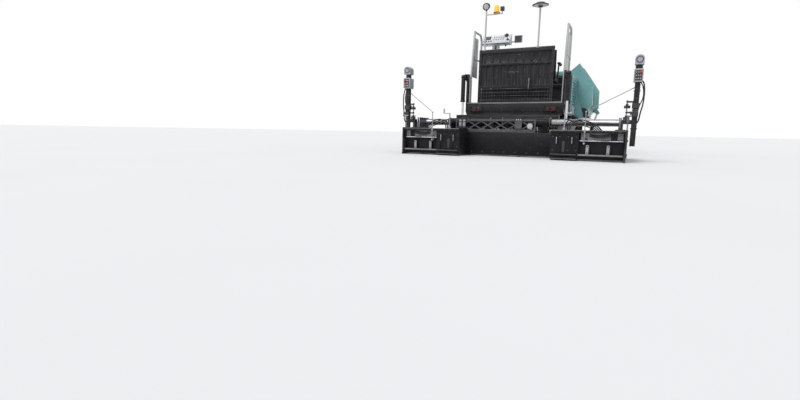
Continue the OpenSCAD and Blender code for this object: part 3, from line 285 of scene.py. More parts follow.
def lens(name, colour, glow=0.0, depth=0.6):
    """Tinted lamp lens with moulded ribs."""
    g = Surface(name)
    ribs = g.node("ShaderNodeTexWave", {"bands_direction": "X"}, Vector=g.place, Scale=60.0)
    g.set(Base_Color=g.mix(g.noise(40.0), scaled(colour, 0.8), colour), Transmission_Weight=depth)
    g.set(Normal=g.bump(0.3, 0.001, ribs.outputs["Fac"]))
    g.set(Roughness=g.patches(0.3, 0.7, 70.0, start=0.06, end=0.2))
    if glow:
        g.set(Emission_Color=(*colour, 1.0), Emission_Strength=glow)
    return g.owner


def vinyl(name, colour):
    """Worn seat vinyl with a fine grain."""
    g = Surface(name)
    cells = g.node("ShaderNodeTexVoronoi", Vector=g.place, Scale=420.0).outputs["Distance"]
    creases = g.noise(14.0, 8.0)
    base = g.mix(g.patches(0.35, 0.65, 5.0, 7.0), scaled(colour, 0.7), scaled(colour, 1.6))
    g.set(Base_Color=base, Roughness=g.ramp(creases, 0.35, 0.65, 0.42, 0.68),
          Normal=g.bump(0.45, 0.0015, g.math("ADD", g.times(cells, 0.6), creases)))
    return g.owner


# Coatings by material slot of the record: colour, roughness, metallic share, and what differs from coated()
SLOTS = {
    "frame_black": ((0.012, 0.012, 0.015), 0.46, 0, dict(dust=0.19, splash=0.28, shine=0.27)),
    "screed_black": ((0.008, 0.008, 0.010), 0.52, 0, dict(
        dust=0.09, tar=0.7, wear=0.45, wear_colour=(0.15, 0.147, 0.144), pits=0.5, pit_size=60, shine=0.19)),
    "body_green": (BODY_GREEN, 0.38, 0, dict(
        vary=0.12, dust=0.40, splash=0.45, wear=0.55, wear_colour=CHIPPED, pits=0.06, coat=0.15)),
    "track_black": ((0.018, 0.017, 0.017), 0.78, 0, dict(
        dust=0.42, splash=0.70, wear_colour=(0.16, 0.15, 0.14), pits=0.5, pit_size=90.0, shine=0.3)),
    "wheel_steel": ((0.055, 0.052, 0.050), 0.5, 0.5, dict(dust=0.4, splash=0.6, wear=0.8)),
    "rail_grey": ((0.46, 0.47, 0.46), 0.38, 0, dict(
        vary=0.1, dust=0.15, wear_colour=(0.14, 0.13, 0.12), pits=0.05)),
    "console_silver": ((0.68, 0.70, 0.73), 0.42, 0, dict(
        vary=0.06, dust=0.15, wear=0.15, pits=0.12, pit_size=500.0)),
    "control_grey": ((0.36, 0.37, 0.40), 0.4, 0, dict(vary=0.1, dust=0.2, tar=0.12, wear=0.4)),
    "rod_chrome": ((0.66, 0.67, 0.69), 0.14, 1.0, dict(vary=0.06, dust=0.08, wear=0, pits=0.03)),
    "guide_steel": ((0.34, 0.34, 0.36), 0.3, 0.9, dict(vary=0.2, dust=0.1, tar=0.15, wear=0.3, pits=0.08)),
    "wear_steel": ((0.16, 0.152, 0.145), 0.42, 0.8, dict(vary=0.3, dust=0.1, tar=0.75, wear=0.6, pits=0.3)),
    "beam_grey": ((0.078, 0.080, 0.084), 0.5, 0, dict(dust=0.3, tar=0.3, wear=0.6, shine=0.35)),
    "engine_grey": ((0.10, 0.104, 0.108), 0.52, 0.4, dict(
        dust=0.4, tar=0.25, wear=0.4, pits=0.5, pit_size=80.0)),
    "lamp_black": ((0.026, 0.026, 0.029), 0.5, 0, dict(dust=0.25, wear=0.25)),
    "exhaust_steel": ((0.13, 0.115, 0.10), 0.5, 0.7, dict(vary=0.4, dust=0.2, pits=0.3)),
}
# Coatings that no slot names
EXTRAS = {
    "hose_rubber": ((0.016, 0.016, 0.017), 0.6, 0, dict(
        dust=0.25, tar=0.2, wear=0, pits=0.25, pit_size=260.0)),
    "bolt_zinc": ((0.28, 0.27, 0.24), 0.35, 0.9, dict(dust=0.15, wear=0.4, edge=0.002)),
    "bolt_dark": ((0.075, 0.072, 0.068), 0.45, 0.6, dict(dust=0.2, tar=0.45, wear=0.4, edge=0.002)),
    "rubber_sheet": ((0.014, 0.014, 0.015), 0.7, 0, dict(
        dust=0.3, splash=0.3, wear=0, pits=0.35, pit_size=200.0, shine=0.3)),
    "screen_glass": ((0.012, 0.014, 0.018), 0.12, 0, dict(dust=0.1, wear=0, pits=0.02, coat=0.6)),
    "knob_red": ((0.42, 0.02, 0.02), 0.35, 0, dict(vary=0.1, dust=0.1, wear=0.2)),
    "knob_green": ((0.03, 0.25, 0.06), 0.35, 0, dict(vary=0.1, dust=0.1, wear=0.2)),
    "cover_grey": ((0.19, 0.195, 0.21), 0.5, 0, dict(dust=0.2, tar=0.25, wear=0.6, shine=0.4)),
    "kick_steel": ((0.21, 0.205, 0.20), 0.45, 0.25, dict(vary=0.3, dust=0.25, tar=0.25, wear=0.6)),
    "bare_steel": ((0.36, 0.35, 0.34), 0.34, 0.9, dict(vary=0.2, dust=0.1, tar=0.2, wear=0.3)),
}


def coatings(table):
    return {name: coated(name, colour, rough, metal, **rest)
            for name, (colour, rough, metal, rest) in table.items()}


# The hopper and its wings have the body's paint, scoured where it faces the load space
load_space = tuple(middle("hopper_base").xy)
EXTRAS["hopper_green"] = (*SLOTS["body_green"][:3], dict(SLOTS["body_green"][3], hollow=load_space))
FINISH = coatings(SLOTS)
FINISH["beacon_amber"] = lens("beacon_amber", (0.95, 0.36, 0.03), glow=0.9, depth=0.25)
FINISH["seat_black"] = vinyl("seat_black", (0.020, 0.020, 0.023))
LOOSE = coatings(EXTRAS)
LOOSE["clear_lens"] = lens("clear_lens", (0.82, 0.84, 0.86), depth=0.35)
LOOSE["red_lens"] = lens("red_lens", (0.20, 0.012, 0.012), depth=0.15)

for row in frame["record"]["subparts"]:
    solid = NODES[row["node"]].data
    solid.materials.clear()
    scoured_inside = row["node"].startswith("hopper")
    solid.materials.append(LOOSE["hopper_green"] if scoured_inside else FINISH[row["material_slot"]])


# Mesh building

# The faces of a box whose four lower corners come first, both fours counterclockwise from above
BOX_FACES = ((3, 2, 1, 0), (4, 5, 6, 7), (0, 1, 5, 4), (1, 2, 6, 5), (2, 3, 7, 6), (3, 0, 4, 7))
# Edges that turn by more than these are shaded sharp, and rounded off
SHARP, ROUNDED_OFF = math.radians(38), math.radians(40)


def add_bevel(piece, width, segments=2):
    bevel = piece.modifiers.new("edges", "BEVEL")
    bevel.width = width
    bevel.segments = segments
    bevel.limit_method = "ANGLE"
    bevel.angle_limit = ROUNDED_OFF
    bevel.harden_normals = True


def add_piece(bm, name, body, finish):
    """Makes a piece of a mesh, smooth and in its finish, and lets it ride on a body."""
    mesh = bpy.data.meshes.new(name)
    bmesh.ops.recalc_face_normals(bm, faces=bm.faces)
    bm.to_mesh(mesh)
    bm.free()
    piece = bpy.data.objects.new(name, mesh)
    bpy.context.scene.collection.objects.link(piece)
    mesh.materials.append(FINISH[finish] if finish in FINISH else LOOSE[finish])
    for polygon in mesh.polygons:
        polygon.use_smooth = True
    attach(piece, body)
    return piece


class Kit:
    """Collects shapes into one mesh. Their x is measured from centre, and move then places them."""

    def __init__(self, centre=0.0):
        self.bm = bmesh.new()
        self.centre = centre
        self.move = Matrix.Identity(4)

    def grow(self, points, faces):
        made = [self.bm.verts.new(self.move @ Vector((x + self.centre, y, z))) for x, y, z in points]
        for face in faces:
            self.bm.faces.new([made[i] for i in face])

    def block(self, a, b):
        """A box between two opposite corners."""
        (x0, x1), (y0, y1), (z0, z1) = (sorted(pair) for pair in zip(a, b))
        ring = ((x0, y0), (x1, y0), (x1, y1), (x0, y1))
        self.grow([(x, y, z) for z in (z0, z1) for x, y in ring], BOX_FACES)

    def prism(self, outline, axis, a, b):
        """Extrudes an outline from a to b: (y, z) along x, (x, z) along y, (x, y) along z."""
        at = "xyz".index(axis)
        points = [(*p[:at], level, *p[at:]) for level in (a, b) for p in outline]
        n = len(outline)
        sides = [(i, (i + 1) % n, n + (i + 1) % n, n + i) for i in range(n)]
        self.grow(points, [range(n)[::-1], range(n, 2 * n)] + sides)

    def skin(self, points, sides, ring=False):
        """Joins rows of points, sides to a row. The ends are closed, or joined to each other in a ring."""
        rows = len(points) // sides
        faces = [] if ring else [range(sides)[::-1], range(len(points))[-sides:]]
        for k in range(rows if ring else rows - 1):
            a, b = k * sides, (k + 1) % rows * sides
            for i in range(sides):
                j = (i + 1) % sides
                faces.append((a + i, a + j, b + j, b + i))
        self.grow(points, faces)

    def lathe(self, profile, at, axis, sides=24, ring=False):
        """Turns a profile of (radius, height) about an axis through at."""
        turn = Vector((0, 0, 1)).rotation_difference(Vector(axis).normalized()).to_matrix()
        self.skin([turn @ Vector((x, y, height)) + Vector(at) for radius, height in profile
                   for x, y in around(sides, radius)], sides, ring)

    def rod(self, a, b, radius, end_radius=None, sides=16):
        along = Vector(b) - Vector(a)
        self.lathe([(radius, 0.0), (end_radius or radius, along.length)], a, along, sides)

    def pipe(self, path, radius, sides=10):
        """A round tube along a path, with closed ends and no twist."""
        path = [Vector(p) for p in path]
        side = None
        points = []
        for i, p in enumerate(path):
            ahead = (path[min(i + 1, len(path) - 1)] - path[max(i - 1, 0)]).normalized()
            side = ahead.orthogonal() if side is None else side - side.dot(ahead) * ahead
            side.normalize()
            up = ahead.cross(side)
            points += [p + a * side + b * up for a, b in around(sides, radius)]
        self.skin(points, sides)

    def hose(self, points, radius, sides=12, steps=8):
        self.pipe(curve_through(points, steps), radius, sides)

    def bolt(self, at, axis, size=0.012):
        """A hex head on its washer; size is the washer's radius."""
        axis = Vector(axis).normalized()
        self.lathe([(size, 0.0), (size, size * 0.18)], at, axis, 16)
        self.lathe([(size * 0.78, 0.0), (size * 0.78, size * 0.62), (size * 0.62, size * 0.75)],
                   Vector(at) + axis * size * 0.16, axis, 6)

    def bolts(self, places, axis, size):
        for at in places:
            self.bolt(at, axis, size)

    def done(self, name, body, finish, bevel=0.0012, segments=2):
        """Hands the mesh over as a piece with rounded edges."""
        piece = add_piece(self.bm, name, body, finish)
        piece.data.set_sharp_from_angle(angle=SHARP)
        if bevel:
            add_bevel(piece, bevel, segments)
        return piece


def kits(count, centre=0.0):
    return [Kit(centre) for _ in range(count)]


# Directions, and measures that both sides share

BACK, AHEAD, DOWN, UP, RIGHT = (0, -1, 0), (0, 1, 0), (0, 0, -1), (0, 0, 1), (1, 0, 0)


def outer_x(node, side):
    """Where a node of one side ends, away from the machine's middle."""
    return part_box(node)[1 if side > 0 else 0].x


def mirrored(half, centre=0.0):
    """A whole outline from the half of it that lies beyond its centre."""
    return [(centre + a, b) for a, b in half] + [(centre - a, b) for a, b in reversed(half)]


def half_width(node):
    low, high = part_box(node)
    return (high.x - low.x) / 2


# Tracks: bolt-on rubber pads over steel shoes, carried by two rows of chain links

PITCH, TURN_SHOES = 0.150, 5
PAD_HEIGHT, PIN_DEPTH = 0.034, 0.053
ROLLER_DROP, ROLLER_INSET = 0.1557, 0.35


def track_loop(name):
    """Half the height of a track's loop, the y of its rear and front axle, and their height."""
    low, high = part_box("track_" + name)
    radius = (high.z - low.z) / 2
    return radius, low.y + radius, high.y - radius, low.z + radius


def shoe_places(name):
    """Middle of each shoe on a track's loop as a matrix: local x across, y along the travel, z outward."""
    _, rear, front, level = track_loop(name)
    straight = [(i + 0.5) * PITCH for i in range(round((front - rear) / PITCH))]
    bend = [(i + 0.5) * 180 / TURN_SHOES for i in range(TURN_SHOES)]
    rows = [(rear + d, 0.0) for d in straight] + [(front, -a) for a in bend]
    rows += [(front - d, -180.0) for d in straight] + [(rear, -180 - a) for a in bend]
    x = middle("track_" + name).x
    return [Matrix.Translation((x, y, level)) @ Matrix.Rotation(math.radians(a), 4, "X") for y, a in rows]


def detailed_tracks():
    for name, _ in SIDES:
        radius, half = track_loop(name)[0], half_width("track_" + name)
        sole, pin = radius - PAD_HEIGHT, radius - PIN_DEPTH
        shoe = [(-0.066, sole - 0.010), (0.058, sole - 0.010), (0.071, sole - 0.004), (0.071, sole),
                (-0.060, sole), (-0.066, sole - 0.004)]
        pad = mirrored([(0.056, sole), (0.054, radius - 0.010), (0.046, radius), (0.008, radius),
                        (0.004, radius - 0.007)])
        link = mirrored([(0.060, pin - 0.0125), (0.074, pin - 0.007), (0.074, pin + 0.003),
                         (0.050, pin + 0.011)])
        shoes, pads, bolts = kits(3)
        for place in shoe_places(name):
            for kit in (shoes, pads, bolts):
                kit.move = place
            shoes.prism(shoe, "x", -half, half)
            pads.prism(pad, "x", 0.006 - half, half - 0.006)
            for x in (-0.062, -0.034, 0.034, 0.062):
                shoes.prism(link, "x", x - 0.005, x + 0.005)
            for x in (0.035 - half, half - 0.035):
                for y in (-0.036, 0.036):
                    bolts.lathe([(0.010, 0.0), (0.010, 0.007), (0.008, 0.009)], (x, y, sole - 0.010), DOWN, 6)
            bolts.rod((-0.072, PITCH / 2, pin), (0.072, PITCH / 2, pin), 0.009, sides=12)
        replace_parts(shoes.done("track_shoes_" + name, "tractor", "wheel_steel", 0.0015, 1), "track_" + name)
        pads.done("track_pads_" + name, "tractor", "track_black", 0.003)
        bolts.done("track_pins_" + name, "tractor", "bolt_zinc", 0)


def wheel_fittings():
    """Hub caps and bolt rings on the outer faces of the sprockets, idlers and rollers."""
    for name, side in SIDES:
        _, rear, front, level = track_loop(name)
        face, out = outer_x("undercarriage_" + name, side), (side, 0, 0)
        caps, bolts = kits(2)
        for y, size, count in ((rear, 0.100, 12), (front, 0.064, 8)):
            caps.lathe([(size, 0.0), (size, 0.006), (size * 0.62, 0.010), (size * 0.58, 0.018),
                        (size * 0.20, 0.020)], (face, y, level), out, 40)
            ring = around(count, size * 0.80)
            bolts.bolts([(face + side * 0.006, y + a, level + b) for a, b in ring], out, 0.009)
        z = level - ROLLER_DROP
        for y in spread(rear + ROLLER_INSET, front - ROLLER_INSET, 5):
            caps.lathe([(0.046, 0.0), (0.046, 0.004), (0.030, 0.010), (0.010, 0.012)], (face, y, z), out, 28)
            bolts.bolts([(face + side * 0.004, y + a, z + b) for a, b in around(4, 0.037, 45)], out, 0.006)
        caps.done("hub_caps_" + name, "tractor", "wheel_steel")
        bolts.done("hub_bolts_" + name, "tractor", "bolt_zinc", 0)


# Tractor

def wall_details():
    """Beads, mesh, bars, a kick edge and bolts of the rear guard wall, and the apron under the platform."""
    low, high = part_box("guard_wall")
    half, rear = half_width("guard_wall"), low.y
    # Heights of the beads on the upper panel, of the mesh behind the ribs and of the lower bars
    panel, ribs, bars = (1.42, 1.55), (1.07, 1.38), (0.815, 1.035)
    beads, bolts, mesh, kick, apron = kits(5, CENTRE)
    bead = [(rear + 0.021, panel[0]), (rear + 0.012, panel[0] + 0.01), (rear + 0.012, panel[1] - 0.01),
            (rear + 0.021, panel[1])]
    for x in spread(0.09 - half, half - 0.09, 9):
        beads.prism(bead, "x", x - 0.014, x + 0.014)
    beads.pipe([(-half, rear + 0.02, high.z), (half, rear + 0.02, high.z)], 0.021, 14)
    for x in spread(0.05 - half, half - 0.05, 23):
        mesh.rod((x, rear + 0.0265, ribs[0]), (x, rear + 0.0265, ribs[1]), 0.0022, sides=6)
    for z in spread(1.085, 1.361, 7):
        mesh.rod((0.03 - half, rear + 0.029, z), (half - 0.03, rear + 0.029, z), 0.0022, sides=6)
    for x in spread(0.06 - half, half - 0.06, 25):
        mesh.rod((x, rear + 0.006, bars[0]), (x, rear + 0.006, bars[1]), 0.0026, sides=8)
    for z in spread(0.850, 1.015, 4):
        mesh.rod((0.045 - half, rear + 0.0015, z), (half - 0.045, rear + 0.0015, z), 0.0026, sides=8)
    for x in (0.02 - half, half - 0.02):
        bolts.bolts([(x, rear, z) for z in (0.90, 1.05, 1.25, 1.40, 1.57)], BACK, 0.011)
    bolts.bolts([(x, rear, 1.05) for x in spread(0.10 - half, half - 0.10, 8)], BACK, 0.008)
    # Bright edge of the platform and a bent grip over the bars
    edge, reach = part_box("platform")[0].y, half_width("platform")
    kick.prism([(edge - 0.004, 0.782), (edge - 0.004, 0.796), (edge + 0.006, 0.8045), (edge + 0.030, 0.8045),
                (edge + 0.030, 0.7995), (edge, 0.7995), (edge, 0.782)], "x", 0.02 - reach, reach - 0.02)
    grip = ((0.010, 1.000), (-0.035, 1.010), (-0.040, 1.080), (-0.035, 1.150), (0.010, 1.160))
    kick.hose([(0.235, rear + y, z) for y, z in grip], 0.009)
    bolts.bolts([(x, edge + 0.018, 0.8045) for x in spread(0.05 - reach, reach - 0.05, 19)], UP, 0.0055)
    apron.block((0.02 - reach, edge + 0.004, 0.592), (reach - 0.02, edge + 0.010, 0.652))
    bolts.bolts([(x, edge, 0.668) for x in spread(0.08 - reach, reach - 0.08, 9)], BACK, 0.008)
    kick.done("wall_kick_edge", "tractor", "kick_steel", 0.0008)
    apron.done("platform_apron", "tractor", "rubber_sheet", 0.001)
    beads.done("wall_beads", "tractor", "frame_black")
    mesh.done("wall_mesh", "tractor", "wheel_steel", 0)
    bolts.done("wall_bolts", "tractor", "bolt_dark", 0)


def tail_lamps():
    """Round tail lamps with guards on the band under the platform."""
    band, level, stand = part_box("platform")[0].y, 0.690, 0.05
    red, body, guard = kits(3, CENTRE)
    for s in (-1, 1):
        for x, r in ((0.62, 0.030), (0.54, 0.024)):
            at = (s * x, band, level)
            body.lathe([(r + 0.008, 0.0), (r + 0.008, 0.016), (r + 0.002, 0.020), (r, 0.014)], at, BACK, 28)
            red.lathe([(r, 0.0), (r, 0.015), (r * 0.8, 0.024), (r * 0.35, 0.028)], at, BACK, 28)
        for x in (s * 0.49, s * 0.67):
            guard.hose([(x, band, level - 0.038), (x, band - stand, level - 0.032),
                        (x, band - stand, level + 0.032), (x, band, level + 0.038)], 0.005, 10)
        for z in (level - 0.018, level + 0.018):
            guard.rod((s * 0.49, band - stand, z), (s * 0.67, band - stand, z), 0.004, sides=8)
    body.done("tail_lamp_bodies", "tractor", "lamp_black")
    red.done("tail_lamp_lenses", "tractor", "red_lens", 0)
    guard.done("tail_lamp_guards", "tractor", "frame_black", 0)


def rail_details():
    """Clips and a folded rim on the sheets in the handrails, and foot bolts."""
    low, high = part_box("handrails")
    inset, lean = 0.028, 0.150
    y0 = low.y + inset
    rim = ((0.006, 1.235), (0.100, 1.865), (0.297, 1.865), (0.297, 1.235), (0.006, 1.235))
    clips, bolts = kits(2, CENTRE)
    for s in (-1, 1):
        x = s * (half_width("handrails") - inset)
        for z in (1.30, 1.55, 1.80):
            clips.lathe([(0.0195, -0.012), (0.0205, -0.010), (0.0205, 0.010), (0.0195, 0.012)],
                        (x, y0 + 0.020 + (z - 1.23) * lean, z), (0, lean, 1), 20)
        clips.pipe([(x, y0 + y, z) for y, z in rim], 0.0055, 8)
        for y in (y0, high.y - inset):
            bolts.bolts([(x + a, y + b, 0.808) for a, b in around(3, 0.022, 30)], UP, 0.005)
    clips.done("rail_clips", "tractor", "rail_grey", 0)
    bolts.done("rail_bolts", "tractor", "bolt_zinc", 0)


def lamps():
    """Lenses and fins of the work lamps and the beacon's foot."""
    y = middle("lamp_masts").y
    flood, wide = Vector((-0.50, y, 2.2923)), (0.33, y, 2.2245)
    glass, rims = kits(2, CENTRE)
    # Round flood lamp on the left pole, aimed down at the screed
    dip = math.radians(20)
    aim = Vector((0, -math.cos(dip), -math.sin(dip)))
    face = flood + 0.03 * aim
    rims.lathe([(0.052, -0.012), (0.056, 0.0), (0.056, 0.008), (0.046, 0.008), (0.044, 0.002)], face, aim, 36)
    glass.lathe([(0.044, 0.001), (0.042, 0.006), (0.026, 0.010), (0.006, 0.012)], face, aim, 36)
    for k in range(5):
        fin = 0.040 - 0.004 * k
        rims.lathe([(fin, -0.003), (fin, 0.0)], face - (0.064 + 0.007 * k) * aim, aim, 28)
    # Wide lamp on the right pole
    rims.lathe([(0.118, 0.0), (0.121, 0.002), (0.121, 0.010), (0.112, 0.014)], wide, UP, 48)
    glass.lathe([(0.108, 0.0018), (0.104, -0.0022), (0.060, -0.0062), (0.040, -0.0072)], wide, UP, 48)
    rims.done("lamp_rims", "tractor", "lamp_black", 0.0008)
    glass.done("lamp_glass", "tractor", "clear_lens", 0)
    foot, at = Kit(), middle("beacon")
    foot.lathe([(0.052, 0.0), (0.052, 0.007), (0.047, 0.012), (0.043, 0.014)],
               (at.x, at.y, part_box("beacon")[0].z), UP, 36)
    foot.done("beacon_foot", "tractor", "lamp_black", 0.0008)


def engine_bay():
    """Air filter, hoses and top ribs of the engine."""
    low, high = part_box("engine")
    y0, y1, top = low.y + 0.02, high.y - 0.06, high.z
    ribs, hoses, filters = kits(3, CENTRE)
    for start, end, radius in ((0.10, 0.46, 0.085), (0.46, 0.49, 0.088)):
        filters.rod((-0.45, y0 + start, top - 0.12), (-0.45, y0 + end, top - 0.12), radius, sides=32)
    hoses.hose([(-0.45, y0 + 0.12, top - 0.05), (-0.40, y0 + 0.12, top + 0.03),
                (-0.28, y0 + 0.18, top + 0.03), (-0.20, y0 + 0.20, top - 0.03)], 0.035, 16)
    for s in (-1, 1):
        hoses.hose([(s * 0.32, y0 + 0.05, 0.80), (s * 0.40, y0 + 0.12, 0.76), (s * 0.42, y0 + 0.30, 0.78),
                    (s * 0.34, y1, 0.90)], 0.017)
    for k in range(6):
        y = y0 + 0.06 + k * 0.07
        ribs.block((-0.24, y, top - 0.004), (0.24, y + 0.025, top + 0.010))
    filters.done("air_filter", "tractor", "lamp_black", 0.002)
    hoses.done("engine_hoses", "tractor", "hose_rubber", 0)
    ribs.done("engine_ribs", "tractor", "engine_grey", 0.002)


def body_details():
    """Beads, bolts and latches of the side panels, and the hood's grips and vents."""
    low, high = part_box("side_panels")
    half = half_width("side_panels")
    trim, bolts, latches, grips, vents = kits(5, CENTRE)
    # The pressed frame around the louvres
    y0, y1, z0, z1 = low.y + 0.100, high.y - 0.100, 0.785, 1.235
    for s in (-1, 1):
        out, x = (s, 0, 0), s * (half - 0.010)
        trim.pipe([(x, y0, z0), (x, y1, z0), (x, y1, z1), (x, y0, z1), (x, y0, z0)], 0.008, 8)
        for y in (low.y + 0.05, high.y - 0.05):
            bolts.bolts([(x, y, z) for z in (0.70, 0.86, 1.02, 1.18, 1.25)], out, 0.009)
        for y in (low.y + 0.16, high.y - 0.16):
            latches.lathe([(0.026, 0.0), (0.026, 0.003), (0.022, 0.005)], (x, y, 0.735), out, 28)
            latches.block((s * (half - 0.006), y - 0.018, 0.730), (s * half, y + 0.018, 0.740))
    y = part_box("hood")[0].y + 0.05
    for x in (-0.40, 0.40):
        grips.hose([(x - 0.07, y, 1.350), (x - 0.07, y, 1.385), (x + 0.07, y, 1.385), (x + 0.07, y, 1.350)],
                   0.007, 10, 6)
    for k in range(7):
        vents.prism([(-0.30, 1.350), (-0.29, 1.358), (0.12, 1.358), (0.13, 1.350)], "y", y + 0.09 + k * 0.045,
                    y + 0.112 + k * 0.045)
    trim.done("panel_beads", "tractor", "body_green", 0)
    bolts.done("panel_bolts", "tractor", "bolt_zinc", 0)
    latches.done("panel_latches", "tractor", "lamp_black", 0.0008)
    grips.done("hood_grips", "hood", "frame_black", 0)
    vents.done("hood_vents", "hood", "body_green", 0.002)


def exhaust_details():
    """Rain flap, clamp and a shield of bars and rings around the exhaust."""
    foot, top = (corner.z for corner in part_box("exhaust"))
    x, y = middle("exhaust").xy
    kit = Kit()
    kit.lathe([(0.047, 0.0), (0.047, 0.022)], (x, y, top - 0.05), UP, 32)
    kit.lathe([(0.048, 0.0), (0.048, 0.006)], (x, y + 0.004, top + 0.004), (0, -0.25, 1), 32)
    kit.block((x - 0.012, y + 0.036, top - 0.045), (x + 0.012, y + 0.060, top + 0.004))
    for a, b in around(12, 0.055):
        kit.rod((x + a, y + b, foot + 0.01), (x + a, y + b, top - 0.07), 0.004, sides=8)
    for z in (foot + 0.03, foot + 0.12, top - 0.09):
        kit.lathe([(0.060, 0.0), (0.060, 0.008), (0.053, 0.008), (0.053, 0.0)], (x, y, z), UP, 36, ring=True)
    kit.done("exhaust_shield", "hood", "exhaust_steel", 0)


# Console and seats

def console_details():
    """Sloped switch panel with screen, dials, rows of switches, steering knob and levers."""
    low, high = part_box("console")
    desk_width, desk_z = 0.50, 1.850
    x0, x1, rear = low.x, low.x + desk_width, low.y
    rise = Vector((0, 0.18, 0.16)).normalized()
    face = Vector((0, -rise.z, rise.y))

    def on_panel(across, up, lift=0.0):
        return Vector(((x0 + x1) / 2 + across, rear, desk_z)) + up * rise + lift * face

    def slab(kit, across, up, width, tall, lift, thick):
        corners = [(a * width / 2, b * tall / 2) for a, b in ((-1, -1), (1, -1), (1, 1), (-1, 1))]
        kit.grow([on_panel(across + a * taper, up + b * taper, level) for taper, level in
                  ((1, lift), (0.97, lift + thick)) for a, b in corners], BOX_FACES)

    plate, dark, glass, red, green, levers, trim, lid, slots, cover = kits(10)
    slab(plate, 0, 0.12, 0.47, 0.215, 0.0, 0.004)
    slab(dark, -0.150, 0.140, 0.116, 0.088, 0.004, 0.010)
    slab(glass, -0.150, 0.140, 0.098, 0.070, 0.0135, 0.002)
    for up in (0.085, 0.147):
        for across in spread(-0.030, 0.130, 5):
            slab(dark, across, up, 0.015, 0.022, 0.004, 0.007)
            slab(plate, across, up, 0.026, 0.036, 0.0035, 0.002)
    for k, kit in enumerate((red, green, dark, dark)):
        at = on_panel(-0.195 + k * 0.042, 0.042, 0.004)
        kit.lathe([(0.013, 0.0), (0.013, 0.010), (0.010, 0.014)], at, face)
    # Travel lever and steering knob, standing from the panel's right end
    foot = on_panel(0.215, 0.06, 0.004)
    levers.lathe([(0.022, 0.0), (0.018, 0.010), (0.010, 0.022)], foot, face)
    levers.rod(foot + 0.015 * face, foot + 0.085 * face, 0.006)
    levers.lathe([(0.008, 0.0), (0.017, 0.012), (0.018, 0.026), (0.010, 0.036)], foot + 0.080 * face, face)
    levers.lathe([(0.034, 0.0), (0.036, 0.014), (0.030, 0.022), (0.010, 0.024)], on_panel(0.170, 0.19, 0.004),
                 face, 32)
    # Rim along the desk, and a cable down the column
    trim.pipe([(x, rear - 0.001, desk_z - 0.014) for x in (x0 + 0.004, x1 - 0.004)], 0.006, 8)
    trim.hose([(x0 + 0.26, rear + 0.075, 1.83), (x0 + 0.26, rear + 0.045, 1.70),
               (x0 + 0.27, rear + 0.050, 1.40), (x0 + 0.27, rear + 0.075, 1.18)], 0.012)
    # Far side: a screwed cover with air slots and a cable gland, seen from the hopper
    far, corner = high.y, 0.022
    left, right = x0 + 0.028 + corner, x1 - 0.028 - corner
    outline = []
    for k, (x, z) in enumerate(((right, 1.874), (right, 1.968), (left, 1.968), (left, 1.874))):
        outline += arc((x, z), corner, 90 * k - 90, 90 * k, 5)
    lid.prism(outline, "y", far - 0.001, far + 0.004)
    for z in spread(1.885, 1.957, 7):
        louvre = [(far + 0.0035, z), (far + 0.0035, z + 0.005), (far + 0.0085, z + 0.0015)]
        slots.prism(louvre, "x", x0 + 0.17, x0 + 0.33)
    for x in (left, (x0 + x1) / 2, right):
        for z in (1.862, 1.980):
            slots.lathe([(0.006, 0.0), (0.006, 0.002), (0.004, 0.0035)], (x, far + 0.004, z), AHEAD, 14)
    slots.lathe([(0.016, 0.0), (0.016, 0.012), (0.011, 0.016), (0.011, 0.026)],
                (x0 + 0.41, rear + 0.140, 1.831), DOWN, 20)
    cover.block((high.x - 0.124, rear + 0.165, 1.868), (high.x - 0.006, rear + 0.171, 1.972))
    plate.done("console_plate", "console", "console_silver")
    dark.done("console_switches", "console", "lamp_black", 0.0008)
    glass.done("console_screen", "console", "screen_glass", 0.0006)
    red.done("stop_button", "console", "knob_red", 0.0008)
    green.done("start_button", "console", "knob_green", 0.0008)
    levers.done("console_levers", "console", "lamp_black", 0.0006)
    trim.done("console_trim", "console", "hose_rubber", 0)
    lid.done("console_lid", "console", "console_silver", 0.0008)
    slots.done("console_slots", "console", "lamp_black", 0)
    cover.done("side_screen", "console", "screen_glass", 0.001)


def cushion(name, body, low, high, crown, lean=0.0, pivot=None):
    """A stuffed pad between two corners, raised in its middle, with a seam around and two sewn channels."""
    bm = bmesh.new()
    size = Vector(high) - Vector(low)
    mid = (Vector(high) + Vector(low)) / 2
    steps = spread(-1, 1, 23)

    def place(u, v, part):
        """Where (u, v), each from -1 to 1, lies on the upper (part 1) or under side (part -1)."""
        edge = (1 - abs(u) ** 5) * (1 - abs(v) ** 5)
        channel = sum(0.10 * math.exp(-((u - c) / 0.035) ** 2) for c in (-0.36, 0.36))
        rise = edge ** 0.35 * (1 + (crown if part > 0 else 0.0) * (1 - u * u) * (1 - v * v)) - channel * edge
        return (mid.x + size.x / 2 * u * (1 - 0.040 * (1 - abs(v) ** 6) * abs(u) ** 6),
                mid.y + size.y / 2 * v * (1 - 0.040 * (1 - abs(u) ** 6) * abs(v) ** 6),
                mid.z + part * size.z / 2 * (rise if part > 0 else min(rise, 1.0)))

    for part in (1, -1):
        grid = [[bm.verts.new(place(u, v, part)) for u in steps] for v in steps]
        for a, b in zip(grid, grid[1:]):
            for i in range(len(steps) - 1):
                bm.faces.new((a[i], a[i + 1], b[i + 1], b[i])[::part])
    bmesh.ops.remove_doubles(bm, verts=bm.verts, dist=0.0008)
    if lean:
        bmesh.ops.rotate(bm, cent=pivot, matrix=Matrix.Rotation(math.radians(lean), 3, "X"), verts=bm.verts)
    piece = add_piece(bm, name, body, "seat_black")
    piece.modifiers.new("smooth", "SUBSURF").levels = 1


